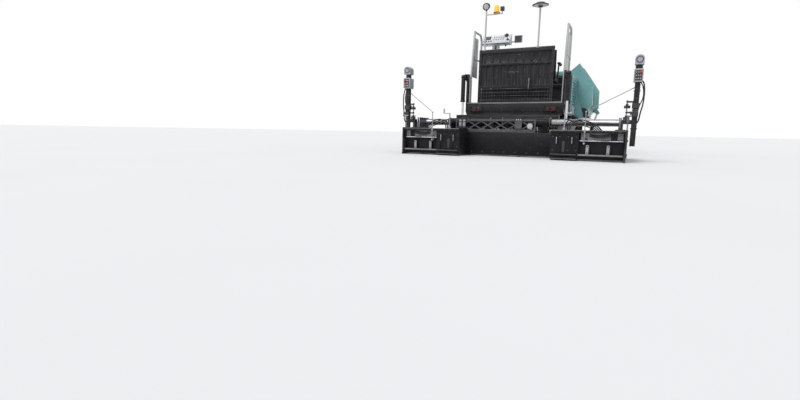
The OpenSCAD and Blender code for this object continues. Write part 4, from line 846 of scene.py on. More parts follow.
def seats():
    """The seats' shells with stuffed cushions and arm pads, and a bellows over each pedestal."""
    cushion_z, back_z, arm_z = 1.186, 1.255, 1.390
    for name, _ in SIDES:
        body = "seat_" + name
        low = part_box(body)[0]
        x, y, foot = middle(body).x, low.y + 0.23, low.z
        shell, bellows = kits(2)
        shell.lathe([(0.045, 0.0), (0.045, 0.310)], (x, y, foot), UP, 28)
        shell.move = Matrix.Translation((x, y, 0))
        shell.block((-0.185, -0.185, 1.138), (0.185, 0.185, 1.169))
        shell.prism([(-0.196, 1.168), (0.200, 1.168), (0.200, 1.185), (-0.10, 1.190), (-0.175, 1.24),
                     (-0.218, 1.585), (-0.230, 1.590), (-0.206, 1.30)], "x", -0.196, 0.196)
        for s in (-1, 1):
            shell.hose([(s * 0.212, -0.110, 1.185), (s * 0.218, -0.112, 1.30), (s * 0.220, -0.100, 1.385),
                        (s * 0.220, -0.03, 1.392), (s * 0.220, 0.08, 1.392)], 0.012, 12, 6)
        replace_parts(shell.done("seat_shell_" + name, body, "frame_black", 0.003), body)
        folds = [(0.075 if k % 2 else 0.060, 0.02 + k * 0.022) for k in range(13)]
        bellows.lathe(folds, (x, y, foot), UP, 32)
        bellows.done("seat_bellows_" + name, body, "hose_rubber", 0)
        cushion("seat_cushion_" + name, body, (x - 0.196, y - 0.150, cushion_z),
                (x + 0.196, y + 0.196, cushion_z + 0.076), 0.35)
        # The back is the same kind of pad, laid level and then turned up about its rear edge
        cushion("seat_back_" + name, body, (x - 0.192, y - 0.22, back_z - 0.035),
                (x + 0.192, y + 0.115, back_z + 0.035), 0.35, 83.0, (x, y - 0.22, back_z))
        for hand, s in SIDES:
            cushion("arm_pad_%s_%s" % (name, hand), body, (x + s * 0.220 - 0.024, y - 0.135, arm_z),
                    (x + s * 0.220 + 0.024, y + 0.108, arm_z + 0.034), 0.2)


# Hopper, push rollers and cylinders

def direction(degrees):
    return Vector((math.cos(math.radians(degrees)), math.sin(math.radians(degrees))))


def wing_details():
    """Edge tube, beads and riveted rims of the raised wings, bolts along the tip, and a seal."""
    # The side sheet's outline from the hinge, before the wing is raised: (length, slope) of each run
    ends = [Vector((0.0, 0.0))]
    for length, slope in ((0.200, -3), (0.330, 43), (0.460, 72)):
        ends.append(ends[-1] + length * direction(slope))
    edge, tip = ends[2:]
    along = (tip - edge).normalized()
    out = Vector((along.y, -along.x))
    rim = [tip - 0.004 * along, tip + 0.300 * direction(172), Vector((0.030, 0.560)), Vector((0.030, 0.030))]
    for name, side in SIDES:
        body = "hopper_wing_" + name
        y0, y1 = (corner.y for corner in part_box(body))

        def placed(point, y):
            """From that outline to the world, with the wing raised."""
            x, z = Matrix.Rotation(WING_RAISED, 2) @ Vector(point)
            return Vector((side * (HINGE_X + x), y, HINGE_Z + z))

        trim, seal, bolts = kits(3, CENTRE)
        trim.pipe([placed(tip - 0.010 * along, y) for y in (y0 + 0.004, y1 - 0.004)], 0.016, 16)
        # Bolts along the tip, on the inner face
        p = tip - 0.055 * along - 0.0125 * out
        for y in spread(y0 + 0.07, y1 - 0.07, 13):
            bolts.bolt(placed(p, y), placed(p - out, y) - placed(p, y), 0.010)
        # Two beads along the side sheet, outside
        for share in (0.30, 0.62):
            p = edge + share * (tip - edge) + 0.002 * out
            trim.pipe([placed(p, y) for y in (y0 + 0.02, y1 - 0.02)], 0.009)
        # Fold along the rear end plate's free edge with a row of rivets
        for a, b in zip(rim, rim[1:]):
            trim.pipe([placed(p, y0 + 0.006) for p in (a, b)], 0.0085, 12)
            count = max(2, int((b - a).length / 0.085))
            inward = Vector((a.y - b.y, b.x - a.x)).normalized() * 0.024
            for k in range(1, count):
                bolts.lathe([(0.006, 0.0), (0.005, 0.003), (0.002, 0.0045)],
                            placed(a + (b - a) * k / count + inward, y0), BACK, 10)
        # Rubber seal down the plate's edge against the fixed wall
        seal.hose([placed((0.045, up), y0 - 0.001) for up in (0.06, 0.30, 0.53)], 0.004, 8)
        trim.done("wing_edges_" + name, body, "body_green", 0)
        bolts.done("wing_bolts_" + name, body, "bolt_zinc", 0)
        seal.done("wing_seal_" + name, body, "hose_rubber", 0)


def hopper_details():
    """Rubber flap at the front, seals along the wings' hinges, and bolts on the bulkhead."""
    rear, front = (corner.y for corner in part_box("hopper_base"))
    flap, bolts = kits(2, CENTRE)
    flap.prism([(front - 0.002, 0.70), (front + 0.010, 0.705), (front + 0.022, 0.60), (front + 0.014, 0.600),
                (front + 0.004, 0.69)], "x", -0.32, 0.32)
    bolts.bolts([(x, front + 0.008, 0.698) for x in spread(-0.29, 0.29, 9)], (0, 1, 0.15), 0.009)
    hinge = arc((HINGE_X, HINGE_Z), 0.090, -60, 150, 14) + [(HINGE_X - 0.060, HINGE_Z - 0.050)]
    for s in (-1, 1):
        flap.block((s * (HINGE_X - 0.075), rear + 0.022, HINGE_Z - 0.047),
                   (s * (HINGE_X + 0.030), front - 0.018, HINGE_Z - 0.042))
        flap.prism([(s * x, z) for x, z in hinge], "y", rear + 0.0203, rear + 0.0230)
        bolts.bolts([(s * x, rear, 0.640) for x in spread(0.52, 0.80, 5)], BACK, 0.009)
    flap.done("hopper_flap", "tractor", "hose_rubber", 0.001)
    bolts.done("hopper_bolts", "tractor", "bolt_zinc", 0)


def push_details():
    """End discs and rings of the push rollers, and caps and bolts on their beam."""
    for name, _ in SIDES:
        body = "push_roller_" + name
        low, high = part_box(body)
        at, r = middle(body), (high.z - low.z) / 2
        rings = Kit()
        disc = [(r - 0.004, -0.001), (r - 0.004, 0.001), (r - 0.030, 0.003)]
        ring = [(r, -0.004), (r + 0.0012, -0.003), (r + 0.0012, 0.003), (r, 0.004)]
        for x, s in ((low.x, -1), (high.x, 1)):
            rings.lathe(disc, (x, *at.yz), (s, 0, 0), 40)
        for x in spread(low.x + 0.06, high.x - 0.06, 6):
            rings.lathe(ring, (x, *at.yz), RIGHT, 48)
        rings.done("roller_rings_" + name, body, "bare_steel", 0)
    caps, bolts = kits(2, CENTRE)
    plate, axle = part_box("push_beam")[0].y + 0.153, middle("push_roller_right").y
    for s in (-1, 1):
        bolts.bolts([(s * x, plate, z) for x in (0.060, 0.575) for z in (0.455, 0.545)], AHEAD, 0.010)
        caps.lathe([(0.034, 0.0), (0.034, 0.008), (0.022, 0.012)], (s * 0.589, axle, 0.5), (s, 0, 0), 28)
    caps.done("push_caps", "push_beam", "wheel_steel")
    bolts.done("push_bolts", "push_beam", "bolt_zinc", 0)


def cylinder_details():
    """Glands, hose ports and pipes of the wing and lift cylinders."""
    for name, side in SIDES:
        wing, lift = "wing_ram_" + name, "lift_ram_" + name
        lean = math.radians(14.95) * side
        foot = (CENTRE + side * (HINGE_X + 0.030), middle(wing).y, 0.250)
        head = (*middle(lift).xy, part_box(lift)[1].z - 0.034)
        for node, base, axis, barrel, r in ((wing, foot, (math.sin(lean), 0, math.cos(lean)), 0.300, 0.032),
                                            (lift, head, (0, 0, -1), 0.400, 0.034)):
            base, axis = Vector(base), Vector(axis)
            gland, pipe = kits(2)
            tip = base + barrel * axis
            gland.lathe([(r + 0.0045, -0.020), (r + 0.007, -0.016), (r + 0.007, -0.006),
                         (r + 0.0045, -0.002)], tip, axis, 32)
            gland.lathe([(r - 0.006, 0.0), (0.0225, 0.004), (0.0205, 0.004)], tip, axis, 32)
            ports = [base + share * barrel * axis for share in (0.19, 0.88)]
            for p in ports:
                gland.lathe([(0.012, r - 0.006), (0.012, r + 0.010), (0.009, r + 0.016)], p, AHEAD, 16)
            p, q = (port + Vector((0, r + 0.012, 0)) for port in ports)
            bend = Vector((0, 0.022, 0))
            pipe.hose([p, p + bend + 0.02 * axis, q + bend - 0.02 * axis, q], 0.0075)
            gland.done(node + "_gland", node, "frame_black", 0)
            pipe.done(node + "_pipe", node, "hose_rubber", 0)


# Screed

def tow_details():
    """Bolted wear plates, weld seams and a depth scale of the tow arms."""
    half = half_width("tow_arms")
    plates, bolts, marks = kits(3, CENTRE)
    for s in (-1, 1):
        face, proud = s * half, s * (half + 0.006)
        for y, z, w, h in ((-1.52, 0.30, 0.14, 0.10), (-0.62, 0.385, 0.26, 0.09)):
            plates.block((face, y - w / 2, z - h / 2), (proud, y + w / 2, z + h / 2))
            corners = [(a * (w / 2 - 0.018), b * (h / 2 - 0.018)) for a in (-1, 1) for b in (-1, 1)]
            bolts.bolts([(proud, y + a, z + b) for a, b in corners], (s, 0, 0), 0.010)
        for z in (0.428, 0.292):
            plates.pipe([(face - s * 0.001, y, z) for y in (-1.45, -0.96)], 0.0035, 8)
        # Depth scale beside the tow point: bare ticks and no figures
        for k in range(9):
            z = 0.485 + k * 0.018
            marks.block((face, 0.150, z), (face + s * 0.0015, 0.172 + 0.010 * (k % 2), z + 0.0035))
        bolts.bolt((face + s * 0.002, 0.25, 0.56), (s, 0, 0), 0.026)
    plates.done("tow_plates", "screed", "frame_black")
    bolts.done("tow_bolts", "screed", "bolt_dark", 0)
    marks.done("tow_scale", "screed", "rail_grey", 0)


def truss_fittings(kit, bolts, hoses, boxes):
    """Two upright cylinders, a valve box and a lamp on the truss, where they show under the platform."""
    low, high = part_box("truss_beam")
    reach, face = half_width("truss_beam"), low.y
    pale, light = kits(2, CENTRE)
    for x in (-0.485, -0.430):
        y = face - 0.018
        pale.lathe([(0.014, 0.0), (0.021, 0.006), (0.021, 0.100), (0.017, 0.108), (0.008, 0.114)],
                   (x, y, 0.388), UP, 28)
        for z in (0.405, 0.470):
            band = [(0.0215, -0.006), (0.0235, -0.005), (0.0235, 0.005), (0.0215, 0.006)]
            boxes.lathe(band, (x, y, z), UP, 28)
        hoses.hose([(x, y, 0.496), (x + 0.01, y + 0.004, 0.520), (x + 0.05, y + 0.024, 0.530),
                    (x + 0.09, y + 0.068, 0.500), (x + 0.10, y + 0.128, 0.440), (x + 0.08, y + 0.168, 0.352)],
                   0.006, 10)
    boxes.block((0.290, face - 0.032, 0.384), (0.385, face + 0.001, 0.492))
    for k in range(3):
        x, y = 0.312 + 0.026 * k, face - 0.016
        kit.lathe([(0.010, 0.0), (0.010, 0.012), (0.006, 0.018)], (x, y, 0.491), UP, 16)
        # Each hose passes over the right guide sleeve and ends on the screed's deck
        hoses.hose([(x, y, 0.505), (0.322 + 0.030 * k, y + 0.028, 0.543 - 0.003 * k),
                    (0.342 + 0.034 * k, y + 0.102, 0.556 - 0.003 * k), (0.358 + 0.036 * k, y + 0.172, 0.515),
                    (0.370 + 0.036 * k, y + 0.188, 0.420), (0.380 + 0.036 * k, y + 0.206, 0.345)], 0.0055, 10)
    bolts.bolts([(x, face - 0.032, z) for x in (0.302, 0.373) for z in (0.398, 0.478)], BACK, 0.0055)
    lamp = (0.492, face - 0.001, 0.418)
    pale.lathe([(0.030, 0.0), (0.040, 0.008), (0.042, 0.022), (0.038, 0.030), (0.035, 0.022)], lamp, BACK, 36)
    light.lathe([(0.035, 0.020), (0.032, 0.027), (0.020, 0.031), (0.006, 0.032)], lamp, BACK, 36)
    for z in (high.z - 0.012, low.z + 0.020):
        bolts.bolts([(x, face, z) for x in spread(0.045 - reach, reach - 0.045, 13)], BACK, 0.0065)
    pale.done("truss_cylinders", "screed", "control_grey", 0.0006)
    light.done("screed_lamp_glass", "screed", "clear_lens", 0)


def guide_fittings():
    """Bolted collars at the ends of the guide sleeves."""
    low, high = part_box("screed_guides")
    collar, heads = kits(2, CENTRE)
    for s, y in ((1, low.y + 0.059), (-1, high.y - 0.059)):
        for x, out in ((0.100, -s), (0.740, s)):
            collar.lathe([(0.0465, 0.0), (0.068, 0.0), (0.068, 0.010), (0.0465, 0.014)], (s * x, y, GUIDE_Z),
                         (-out, 0, 0), 40, ring=True)
            ring = around(6, 0.0605)
            heads.bolts([(s * x, y + a, GUIDE_Z + b) for a, b in ring], (out, 0, 0), 0.0055)
    collar.done("guide_collars", "screed", "beam_grey", 0)
    heads.done("guide_bolts", "screed", "bolt_zinc", 0)


def screed_details():
    """Adjusting screws, burner boxes, pipes, hoses and bolts on the basic screed."""
    low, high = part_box("screed_main")
    screw_z, sole_z, board_z = 0.352, 0.060, 0.18
    x0, x1, rear, front = low.x - CENTRE, high.x - CENTRE, low.y, high.y
    kit, bolts, hoses, boxes = kits(4, CENTRE)
    # The two screws in the middle that bend the screed, each with its chain wheel
    for y in (rear + 0.10, front - 0.12):
        kit.rod((-0.085, y, screw_z), (0.085, y, screw_z), 0.016, sides=20)
        kit.lathe([(0.030, -0.012), (0.034, -0.008), (0.034, 0.008), (0.030, 0.012)], (0, y, screw_z), RIGHT)
        for x in (-0.060, 0.060):
            kit.block((x - 0.010, y - 0.018, screw_z - 0.023), (x + 0.010, y + 0.018, screw_z + 0.020))
    for x in spread(x0 + 0.07, x1 - 0.07, 11):
        bolts.bolt((x, rear, sole_z), BACK, 0.010)
        bolts.bolt((x, front - 0.0005, board_z), AHEAD, 0.010)
    # Gas pipes along the deck, and boxes over the burners
    gas = ((0.10, 0.19, 0.345), (0.30, 0.20, 0.350), (0.55, 0.19, 0.347), (0.74, 0.15, 0.352))
    thin = ((0.10, 0.16, 0.343), (0.34, 0.155, 0.352), (0.60, 0.16, 0.346), (0.76, 0.12, 0.350))
    for s in (-1, 1):
        for path, radius, sides in ((gas, 0.009, 12), (thin, 0.0065, 10)):
            hoses.hose([(s * x, rear + y, z) for x, y, z in path], radius, sides)
        for x in (s * 0.20, s * 0.42):
            boxes.block((x - 0.045, front - 0.195, 0.3295), (x + 0.045, front - 0.115, 0.372))
            kit.lathe([(0.012, 0.0), (0.012, 0.012), (0.008, 0.016)], (x, front - 0.155, 0.372), UP, 16)
    truss_fittings(kit, bolts, hoses, boxes)
    kit.done("crown_screws", "screed", "guide_steel", 0.001)
    bolts.done("screed_bolts", "screed", "bolt_dark", 0)
    hoses.done("screed_hoses", "screed", "hose_rubber", 0)
    boxes.done("burner_boxes", "screed", "beam_grey", 0.003)
    guide_fittings()


def tread(kit, low, high, level, pitch=0.030):
    """Raised lozenges of checker plate, alternately turned, on a level rectangle."""
    nx, ny = (int((high[k] - low[k]) / pitch) for k in (0, 1))
    for i in range(nx):
        for j in range(ny):
            x = low[0] + (i + 0.5) * (high[0] - low[0]) / nx
            y = low[1] + (j + 0.5) * (high[1] - low[1]) / ny
            turn = Matrix.Rotation(math.radians(45 if (i + j) % 2 else -45), 2)
            corners = [turn @ Vector(p) for p in ((-0.011, 0), (0, -0.0035), (0.011, 0), (0, 0.0035))]
            kit.grow([(x + p.x, y + p.y, level - 0.0005) for p in corners] + [(x, y, level + 0.0022)],
                     [(0, 1, 4), (1, 2, 4), (2, 3, 4), (3, 0, 4), (3, 2, 1, 0)])


# How far inward from an extension's end and ahead of its rear face the sight rod stands
SIGHT_IN, SIGHT_Y = 0.440, 0.014


def extension_details():
    """Checker plate, steps, handles, recess hardware, brackets and hoses of the screed's extensions."""
    for name, side in SIDES:
        body = "extension_" + name
        low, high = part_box(body)
        outer, length, deck = outer_x(body, side), high.x - low.x, high.z

        def at(d, y, z):
            """The place at a distance d inward from the outer end and y ahead of the rear face."""
            return outer - side * d, low.y + y, z

        def slab(kit, d, y, z):
            """A box over the three ranges."""
            kit.block(at(d[0], y[0], z[0]), at(d[1], y[1], z[1]))

        plate, bolts, rods, hoses, boxes, dark, covers, edges = kits(8)
        start, end = sorted((outer - side * 0.10, outer - side * (length - 0.01)))
        tread(plate, (start, low.y + 0.045), (end, high.y - 0.20), deck)
        # Turned down lip along the deck's rear edge and its bolts
        slab(plate, (0.0, length), (0.024, 0.031), (deck - 0.030, deck))
        bolts.bolts([at(d, 0.024, deck - 0.015) for d in spread(0.05, length - 0.05, 10)], BACK, 0.007)
        # Serrated steps on the inner half, ledge lines, and a flat black strip as the painted shade of a slot
        for d in spread(0.525, 0.795, 21):
            for z in (0.040, 0.074):
                slab(plate, (d, d + 0.006), (0.002, 0.034), (z, z + 0.005))
        for z in (0.255, 0.315):
            slab(plate, (0.515, length - 0.010), (0.030, 0.041), (z, z + 0.010))
        # No opening is cut here: this thin black strip on the step's face is painted shade where a slot would
        # be
        slab(dark, (0.660, 0.690), (0.0385, 0.042), (0.105, 0.235))
        for z in (0.125, 0.290):
            bolts.bolts([at(d, 0.040, z) for d in (0.53, 0.62, 0.72, length - 0.03)], BACK, 0.008)
        # Grab handles over the inner half
        for d in (0.575, 0.755):
            rods.hose([at(d, 0.041, 0.205), at(d, 0.008, 0.210), at(d, 0.005, 0.245), at(d, 0.008, 0.280),
                       at(d, 0.041, 0.285)], 0.006, 10)
        # Upright brackets of the outer half, bright where boots rub them
        for d in (0.385, 0.155):
            slab(rods, (d, d + 0.032), (0.052, 0.060), (0.085, 0.195))
            bolts.bolts([at(d + 0.016, 0.052, z) for z in (0.100, 0.180)], BACK, 0.008)
        for d in spread(0.012, 0.4745, 26):
            slab(plate, (d, d + 0.009), (0.041, 0.098), (0.078, 0.083))
        slab(covers, (0.018, 0.482), (0.074, 0.080), (0.256, 0.3375))
        bolts.bolts([at(d, 0.074, 0.268) for d in spread(0.045, 0.425, 5)], BACK, 0.006)
        for z in (0.020, 0.064):
            slab(edges, (0.520, 0.818), (0.0015, 0.006), (z, z + 0.014))
        slab(edges, (0.008, 0.500), (0.036, 0.042), (0.066, 0.084))
        slab(edges, (0.0, length), (0.020, 0.025), (deck - 0.006, deck + 0.0008))
        # Recess: switch box, valve, adjusting spindle and hoses
        slab(boxes, (0.395, 0.465), (0.070, 0.098), (0.246, 0.288))
        slab(dark, (0.402, 0.458), (0.0665, 0.0705), (0.252, 0.282))
        rods.rod(at(0.016, 0.064, 0.243), at(0.49, 0.064, 0.243), 0.009)
        for d in spread(0.160, 0.2545, 22):
            thread = [(0.0095, 0.0), (0.0115, 0.0018), (0.0095, 0.0036)]
            rods.lathe(thread, at(d, 0.064, 0.243), (-side, 0, 0), 16)
        for top in (0.322, 0.309, 0.296):
            hoses.hose([at(0.148, 0.060, top), at(0.175, 0.058, top), at(0.230, 0.062, top - 0.010),
                        at(0.300, 0.063, top - 0.013), at(0.350, 0.066, top - 0.006), at(0.385, 0.078, top)],
                       0.0058, 10)
        # Adjusting spindle that stands through the deck, with its crank
        rods.rod(at(0.680, 0.052, 0.225), at(0.680, 0.052, 0.575), 0.0075, sides=14)
        rods.lathe([(0.020, 0.0), (0.020, 0.022), (0.012, 0.030)], at(0.680, 0.052, deck - 0.001), UP, 20)
        rods.rod(at(0.680, 0.052, 0.570), at(0.595, 0.052, 0.575), 0.006, sides=10)
        rods.rod(at(0.595, 0.052, 0.570), at(0.595, 0.052, 0.635), 0.009, sides=14)
        # Upright sight rod clipped to the rear edge
        rods.rod(at(SIGHT_IN, SIGHT_Y, 0.200), at(SIGHT_IN, SIGHT_Y, 0.585), 0.0055, sides=12)
        for z, hold in ((0.214, 0.101), (0.352, 0.026)):
            slab(boxes, (SIGHT_IN - 0.010, SIGHT_IN + 0.010), (0.006, hold), (z - 0.008, z + 0.008))
        rods.lathe([(0.0075, 0.0), (0.010, 0.004), (0.010, 0.014), (0.006, 0.020)],
                   at(SIGHT_IN, SIGHT_Y, 0.575), UP, 18)
        # Four hoses that arch over the deck from its inner half to its outer half
        for k in range(4):
            d = 0.024 * k
            hoses.hose([at(0.62 + d, 0.075, deck - 0.004), at(0.60 + d, 0.080, 0.440 + 0.020 * k),
                        at(0.50 + d, 0.110 + 0.010 * k, 0.495 - 0.012 * k),
                        at(0.34 + d, 0.150, 0.440 - 0.010 * k), at(0.26 + d, 0.180, deck - 0.004)],
                       0.0085 - 0.0008 * k)
        plate.done("deck_tread_" + name, body, "screed_black", 0)
        bolts.done("deck_bolts_" + name, body, "bolt_dark", 0)
        rods.done("deck_rods_" + name, body, "guide_steel", 0.0008)
        hoses.done("deck_hoses_" + name, body, "hose_rubber", 0)
        boxes.done("recess_box_" + name, body, "control_grey", 0.003)
        dark.done("recess_valve_and_slot_shade_" + name, body, "lamp_black", 0.0015)
        covers.done("recess_cover_" + name, body, "cover_grey", 0.001)
        edges.done("step_edges_" + name, body, "kick_steel", 0.0006)


def gate_details():
    """Lifting screws with crossbars, ears, bolts and wear skids of the end gates."""
    for name, side in SIDES:
        gate, ext = "end_gate_" + name, "extension_" + name
        low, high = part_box(gate)
        ext_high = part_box(ext)[1]
        mid, outer, edge, top = middle(gate).x, outer_x(gate, side), outer_x(ext, side), high.z
        rods, bolts, ears = kits(3)
        for y in (low.y + 0.10, ext_high.y - 0.05):
            rods.rod((mid, y, top - 0.002), (mid, y, top + 0.165), 0.0075, sides=14)
            for z in spread(top + 0.092, top + 0.147, 12):
                rods.lathe([(0.013, 0.0), (0.015, 0.0022), (0.013, 0.0044)], (mid, y, z), UP, 16)
            reach = side * 0.035
            rods.hose([(mid - reach, y, top + 0.170), (mid, y, top + 0.166), (mid + reach, y, top + 0.170)],
                      0.0065, 10, 4)
            back = edge - side * 0.050
            ears.block((back, y - 0.018, top + 0.076), (mid + side * 0.018, y + 0.018, top + 0.086))
            ears.block((back, y - 0.018, ext_high.z), (back + side * 0.010, y + 0.018, top + 0.080))
        for y in (0.08, 0.30, 0.55, 0.80):
            bolts.bolts([(outer, low.y + y, z) for z in (0.07, 0.25)], (side, 0, 0), 0.011)
        # Wear skid along the foot
        skid = [(low.y + 0.01, 0.003), (high.y - 0.10, 0.003), (high.y - 0.03, 0.050),
                (high.y - 0.045, 0.056), (high.y - 0.11, 0.026), (low.y + 0.01, 0.026)]
        rods.prism(skid, "x", outer, outer + side * 0.010)
        rods.done("gate_screws_" + name, gate, "guide_steel", 0)
        bolts.done("gate_bolts_" + name, gate, "bolt_dark", 0)
        ears.done("gate_ears_" + name, ext, "frame_black")


def post_details():
    """Control posts: covers over two boxes, a dial, switches, a bellows, cables and a height screw."""
    for name, side in SIDES:
        node, body = "control_post_" + name, "extension_" + name
        low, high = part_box(node)
        mid, inner = outer_x(node, side) - side * 0.050, outer_x(node, side) - side * (high.x - low.x)
        middle_y, top = middle(node).y, high.z

        def at(out, y, z):
            """The place at a distance out from the post's middle, away from the machine's own middle."""
            return mid + side * out, middle_y + y, z

        def rounded(z0, z1, r_low, r_top, half=0.050):
            """Outline of a box with rounded edges."""
            return mirrored(arc((half - r_low, z0 + r_low), r_low, -90, 0, 6)
                            + arc((half - r_top, z1 - r_top), r_top, 0, 90, 10), mid)

        post, cover, dark, knobs, cable, metal = kits(6)
        # Heights: the clamps' bolts, the lobed knobs and the two arms of the height screw
        clamps, lobed, arms = (0.40, 0.62, 0.84), (0.520, 0.655), (0.590, 0.715)
        arm = side * (inner - mid)
        post.block(at(-0.030, -0.030, 0.190), at(0.030, 0.030, top - 0.308))
        post.block(at(arm, -0.040, 0.3703), at(arm + 0.115, 0.040, 0.386))
        post.block(at(arm + 0.060, -0.040, 0.385), at(arm + 0.080, 0.040, 0.502))
        post.block(at(arm + 0.060, -0.025, 0.452), at(0, 0.025, 0.502))
        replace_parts(post.done("post_frame_" + name, body, "frame_black", 0.003), node)
        for z in clamps:
            metal.lathe([(0.004, 0.0), (0.004, 0.070)], (mid - 0.035, middle_y - 0.020, z), RIGHT, 10)
            for s in (-1, 1):
                metal.bolt((mid + s * 0.030, middle_y - 0.020, z), (s, 0, 0), 0.009)
        # Two boxes with a bellows between them
        cover.prism(rounded(top - 0.310, top - 0.160, 0.014, 0.016), "y", middle_y - 0.070, middle_y + 0.070)
        cover.prism(rounded(top - 0.112, top, 0.010, 0.049), "y", middle_y - 0.060, middle_y + 0.060)
        dark.lathe([(0.042 if k % 2 else 0.036, k * 0.0066) for k in range(8)], at(0, 0, top - 0.161), UP, 28)
        # Switch plate towards the operator behind the screed
        dark.block(at(-0.038, -0.074, top - 0.296), at(0.038, -0.069, top - 0.178))
        for up in (0.276, 0.240, 0.204):
            for x in (-0.024, 0.0, 0.024):
                switch = at(x, -0.073, top - up)
                metal.lathe([(0.0075, 0.0), (0.0075, 0.003), (0.0045, 0.005)], switch, BACK, 14)
                metal.rod(switch, at(x, -0.088, top - up + 0.005), 0.0022, 0.003, 8)
        knobs.lathe([(0.012, 0.0), (0.012, 0.008), (0.016, 0.010), (0.016, 0.016), (0.010, 0.020)],
                    at(0.024, -0.073, top - 0.205), BACK)
        # Dial in a bezel on the upper box
        dial = at(0, -0.060, top - 0.056)
        dark.lathe([(0.038, 0.0), (0.038, 0.005), (0.034, 0.009), (0.031, 0.009), (0.030, 0.004)], dial, BACK,
                   40)
        cover.lathe([(0.0295, 0.003), (0.0295, 0.005), (0.010, 0.0055)], dial, BACK, 36)
        metal.block(at(-0.0015, -0.0675, top - 0.060), at(0.0015, -0.0655, top - 0.034))
        # Cable loop that hangs outside and runs down to the post's foot, and a thinner one beside it
        cable.hose([at(0.038, 0.020, top - 0.285), at(0.064, 0.015, top - 0.320), at(0.078, 0, top - 0.420),
                    at(0.074, -0.010, top - 0.560), at(0.056, -0.020, top - 0.660),
                    at(0.040, -0.036, top - 0.760), at(0, -0.036, 0.430)], 0.008)
        cable.hose([at(0.030, 0.035, top - 0.300), at(0.062, 0.040, top - 0.370),
                    at(0.070, 0.040, top - 0.480), at(0.034, 0.034, top - 0.600), at(0, 0.034, 0.460)],
                   0.006, 10)
        # Height screw with lobed knobs beside the post, held by two arms
        metal.rod(at(-0.092, -0.010, 0.505), at(-0.092, -0.010, 0.735), 0.0075, sides=14)
        x, y, _ = at(-0.092, -0.010, 0)
        lobes = []
        for k in range(40):
            a = 2 * math.pi * k / 40
            reach = 0.031 + 0.006 * math.cos(5 * a)
            lobes.append((x + reach * math.cos(a), y + reach * math.sin(a)))
        for z in lobed:
            dark.prism(lobes, "z", z - 0.016, z + 0.016)
            dark.lathe([(0.015, 0.0), (0.015, 0.018), (0.010, 0.024)], (x, y, z + 0.014), UP)
        for z in arms:
            dark.block(at(-0.104, -0.022, z - 0.010), at(-0.020, 0.004, z + 0.010))
        dark.block(at(-0.040, -0.042, 0.640), at(0.040, 0.042, 0.700))
        dark.block((mid - 0.052, middle_y - 0.055, 0.540), (mid + 0.035, middle_y - 0.028, 0.600))
        # Slope rod from the post to the sight rod on the deck
        sight = (outer_x(body, side) - side * SIGHT_IN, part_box(body)[0].y + SIGHT_Y, 0.590)
        metal.rod(at(-0.030, 0, 0.880), sight, 0.0046, sides=10)
        cover.done("control_covers_" + name, body, "control_grey", 0.002)
        dark.done("control_faces_" + name, body, "lamp_black", 0.001)
        knobs.done("control_knob_" + name, body, "knob_red", 0.0006)
        metal.done("control_metal_" + name, body, "bare_steel", 0)
        cable.done("control_cable_" + name, body, "hose_rubber", 0)


# Feed

def feed_details():
    """Bolted collars of the augers and the chains along the conveyor."""
    for name, _ in SIDES:
        body = "auger_" + name
        low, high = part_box(body)
        at, kit = middle(body), Kit()
        for end, out in ((low.x, -1), (high.x, 1)):
            x = end - out * 0.016
            kit.lathe([(0.046, 0.0), (0.046, 0.014), (0.038, 0.018)], (x, *at.yz), (out, 0, 0), 32)
            for a, b in around(6, 0.046):
                kit.bolt((x + out * 0.008, at.y + a, at.z + b), (0, a, b), 0.006)
        kit.done("auger_collars_" + name, body, "wear_steel", 0)
    low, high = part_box("conveyor")
    y0, y1, top = low.y + 0.09, high.y - 0.09, high.z
    links = int((y1 - y0) / 0.060)
    chain = Kit(CENTRE)
    for s in (-1, 1):
        for k in range(links):
            y = y0 + (k + 0.5) * (y1 - y0) / links
            plate = mirrored([(0.026, top - 0.004), (0.024, top + 0.008), (0.010, top + 0.004)], y)
            for x in (0.271, 0.299):
                chain.prism(plate, "x", s * (x - 0.002), s * (x + 0.002))
            chain.rod((s * 0.262, y, top + 0.002), (s * 0.306, y, top + 0.002), 0.005, sides=10)
    chain.done("conveyor_chain", "tractor", "wear_steel", 0)


# The solids that get rounded edges, by the width; their split corners are welded first
WELD_REACH = 0.00002
ROUNDED = {
    0.002: ("side_panels", "truss_beam", "work_lamps", "screed_guides", "screed_sole", "extension_guide_left",
            "extension_guide_right"),
    0.0025: ("hopper_wing_left", "hopper_wing_right"),
    0.003: ("chassis", "platform", "guard_wall", "hopper_base", "lift_towers", "auger_carrier", "push_beam",
            "undercarriage_left", "undercarriage_right", "extension_left", "extension_right", "end_gate_left",
            "end_gate_right"),
    0.004: ("tow_arms", "screed_main"),
    0.006: ("hood", "engine"),
    0.010: ("console",),
}


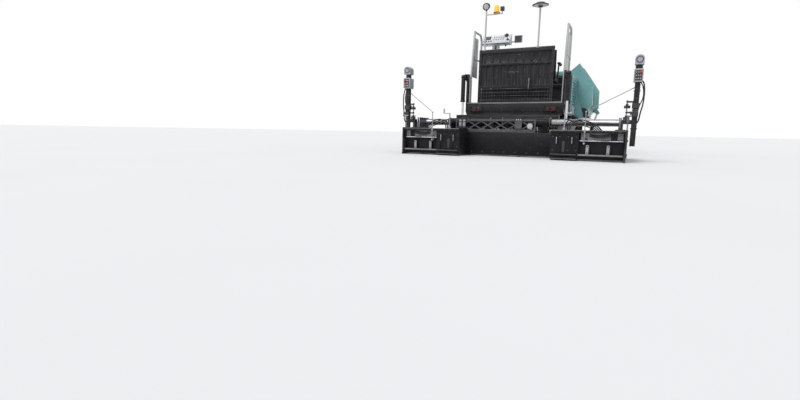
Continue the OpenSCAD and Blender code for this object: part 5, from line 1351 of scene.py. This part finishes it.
def round_nodes():
    for width, names in ROUNDED.items():
        for name in names:
            piece = NODES[name]
            piece.modifiers.new("weld", "WELD").merge_threshold = WELD_REACH
            add_bevel(piece, width)
            for polygon in piece.data.polygons:
                polygon.use_smooth = True


def surroundings():
    """Plain pale floor, even sky and one soft sun."""
    floor_mesh = bpy.data.meshes.new("floor")
    bm = bmesh.new()
    bmesh.ops.create_circle(bm, cap_ends=True, segments=96, radius=FLOOR_RADIUS)
    bm.to_mesh(floor_mesh)
    bm.free()
    floor = bpy.data.objects.new("floor", floor_mesh)
    bpy.context.scene.collection.objects.link(floor)
    g = Surface("floor")
    g.set(Base_Color=g.mix(g.noise(0.6), (0.78, 0.78, 0.78), (0.82, 0.82, 0.82)),
          Roughness=g.patches(0, 1, 3.0, start=0.85, end=0.95))
    floor_mesh.materials.append(g.owner)
    sun = bpy.data.objects.new("sun", bpy.data.lights.new("sun", "SUN"))
    sun.data.energy = SUN_STRENGTH
    sun.data.angle = math.radians(SUN_WIDTH)
    sun.rotation_euler = [math.radians(a) for a in SUN_TURN]
    bpy.context.scene.collection.objects.link(sun)
    world = bpy.data.worlds.new("sky")
    bpy.context.scene.world = world
    sky = Graph(world)
    back = sky.tree.nodes["Background"]
    back.inputs["Color"].default_value = SKY_COLOUR
    back.inputs["Strength"].default_value = SKY_STRENGTH
    white = sky.node("ShaderNodeBackground", Color=WHITE)
    # The camera, glass and shiny faces see plain white, everything else is lit by the pale blue
    ray = sky.node("ShaderNodeLightPath").outputs
    seen = sky.most(sky.most(ray["Is Camera Ray"], ray["Is Transmission Ray"]), ray["Is Glossy Ray"])
    mixed = sky.node("ShaderNodeMixShader")
    for socket, source in zip(mixed.inputs, (seen, back.outputs[0], white.outputs[0])):
        sky.feed(socket, source)
    sky.feed(sky.tree.nodes["World Output"].inputs["Surface"], mixed.outputs[0])


for build in (detailed_tracks, wheel_fittings, wall_details, tail_lamps, rail_details, lamps, engine_bay,
              body_details, exhaust_details, console_details, seats, wing_details, hopper_details,
              push_details, cylinder_details, tow_details, screed_details, extension_details, gate_details,
              post_details, feed_details, round_nodes, surroundings):
    build()

bpy.context.scene.view_settings.view_transform = "Standard"
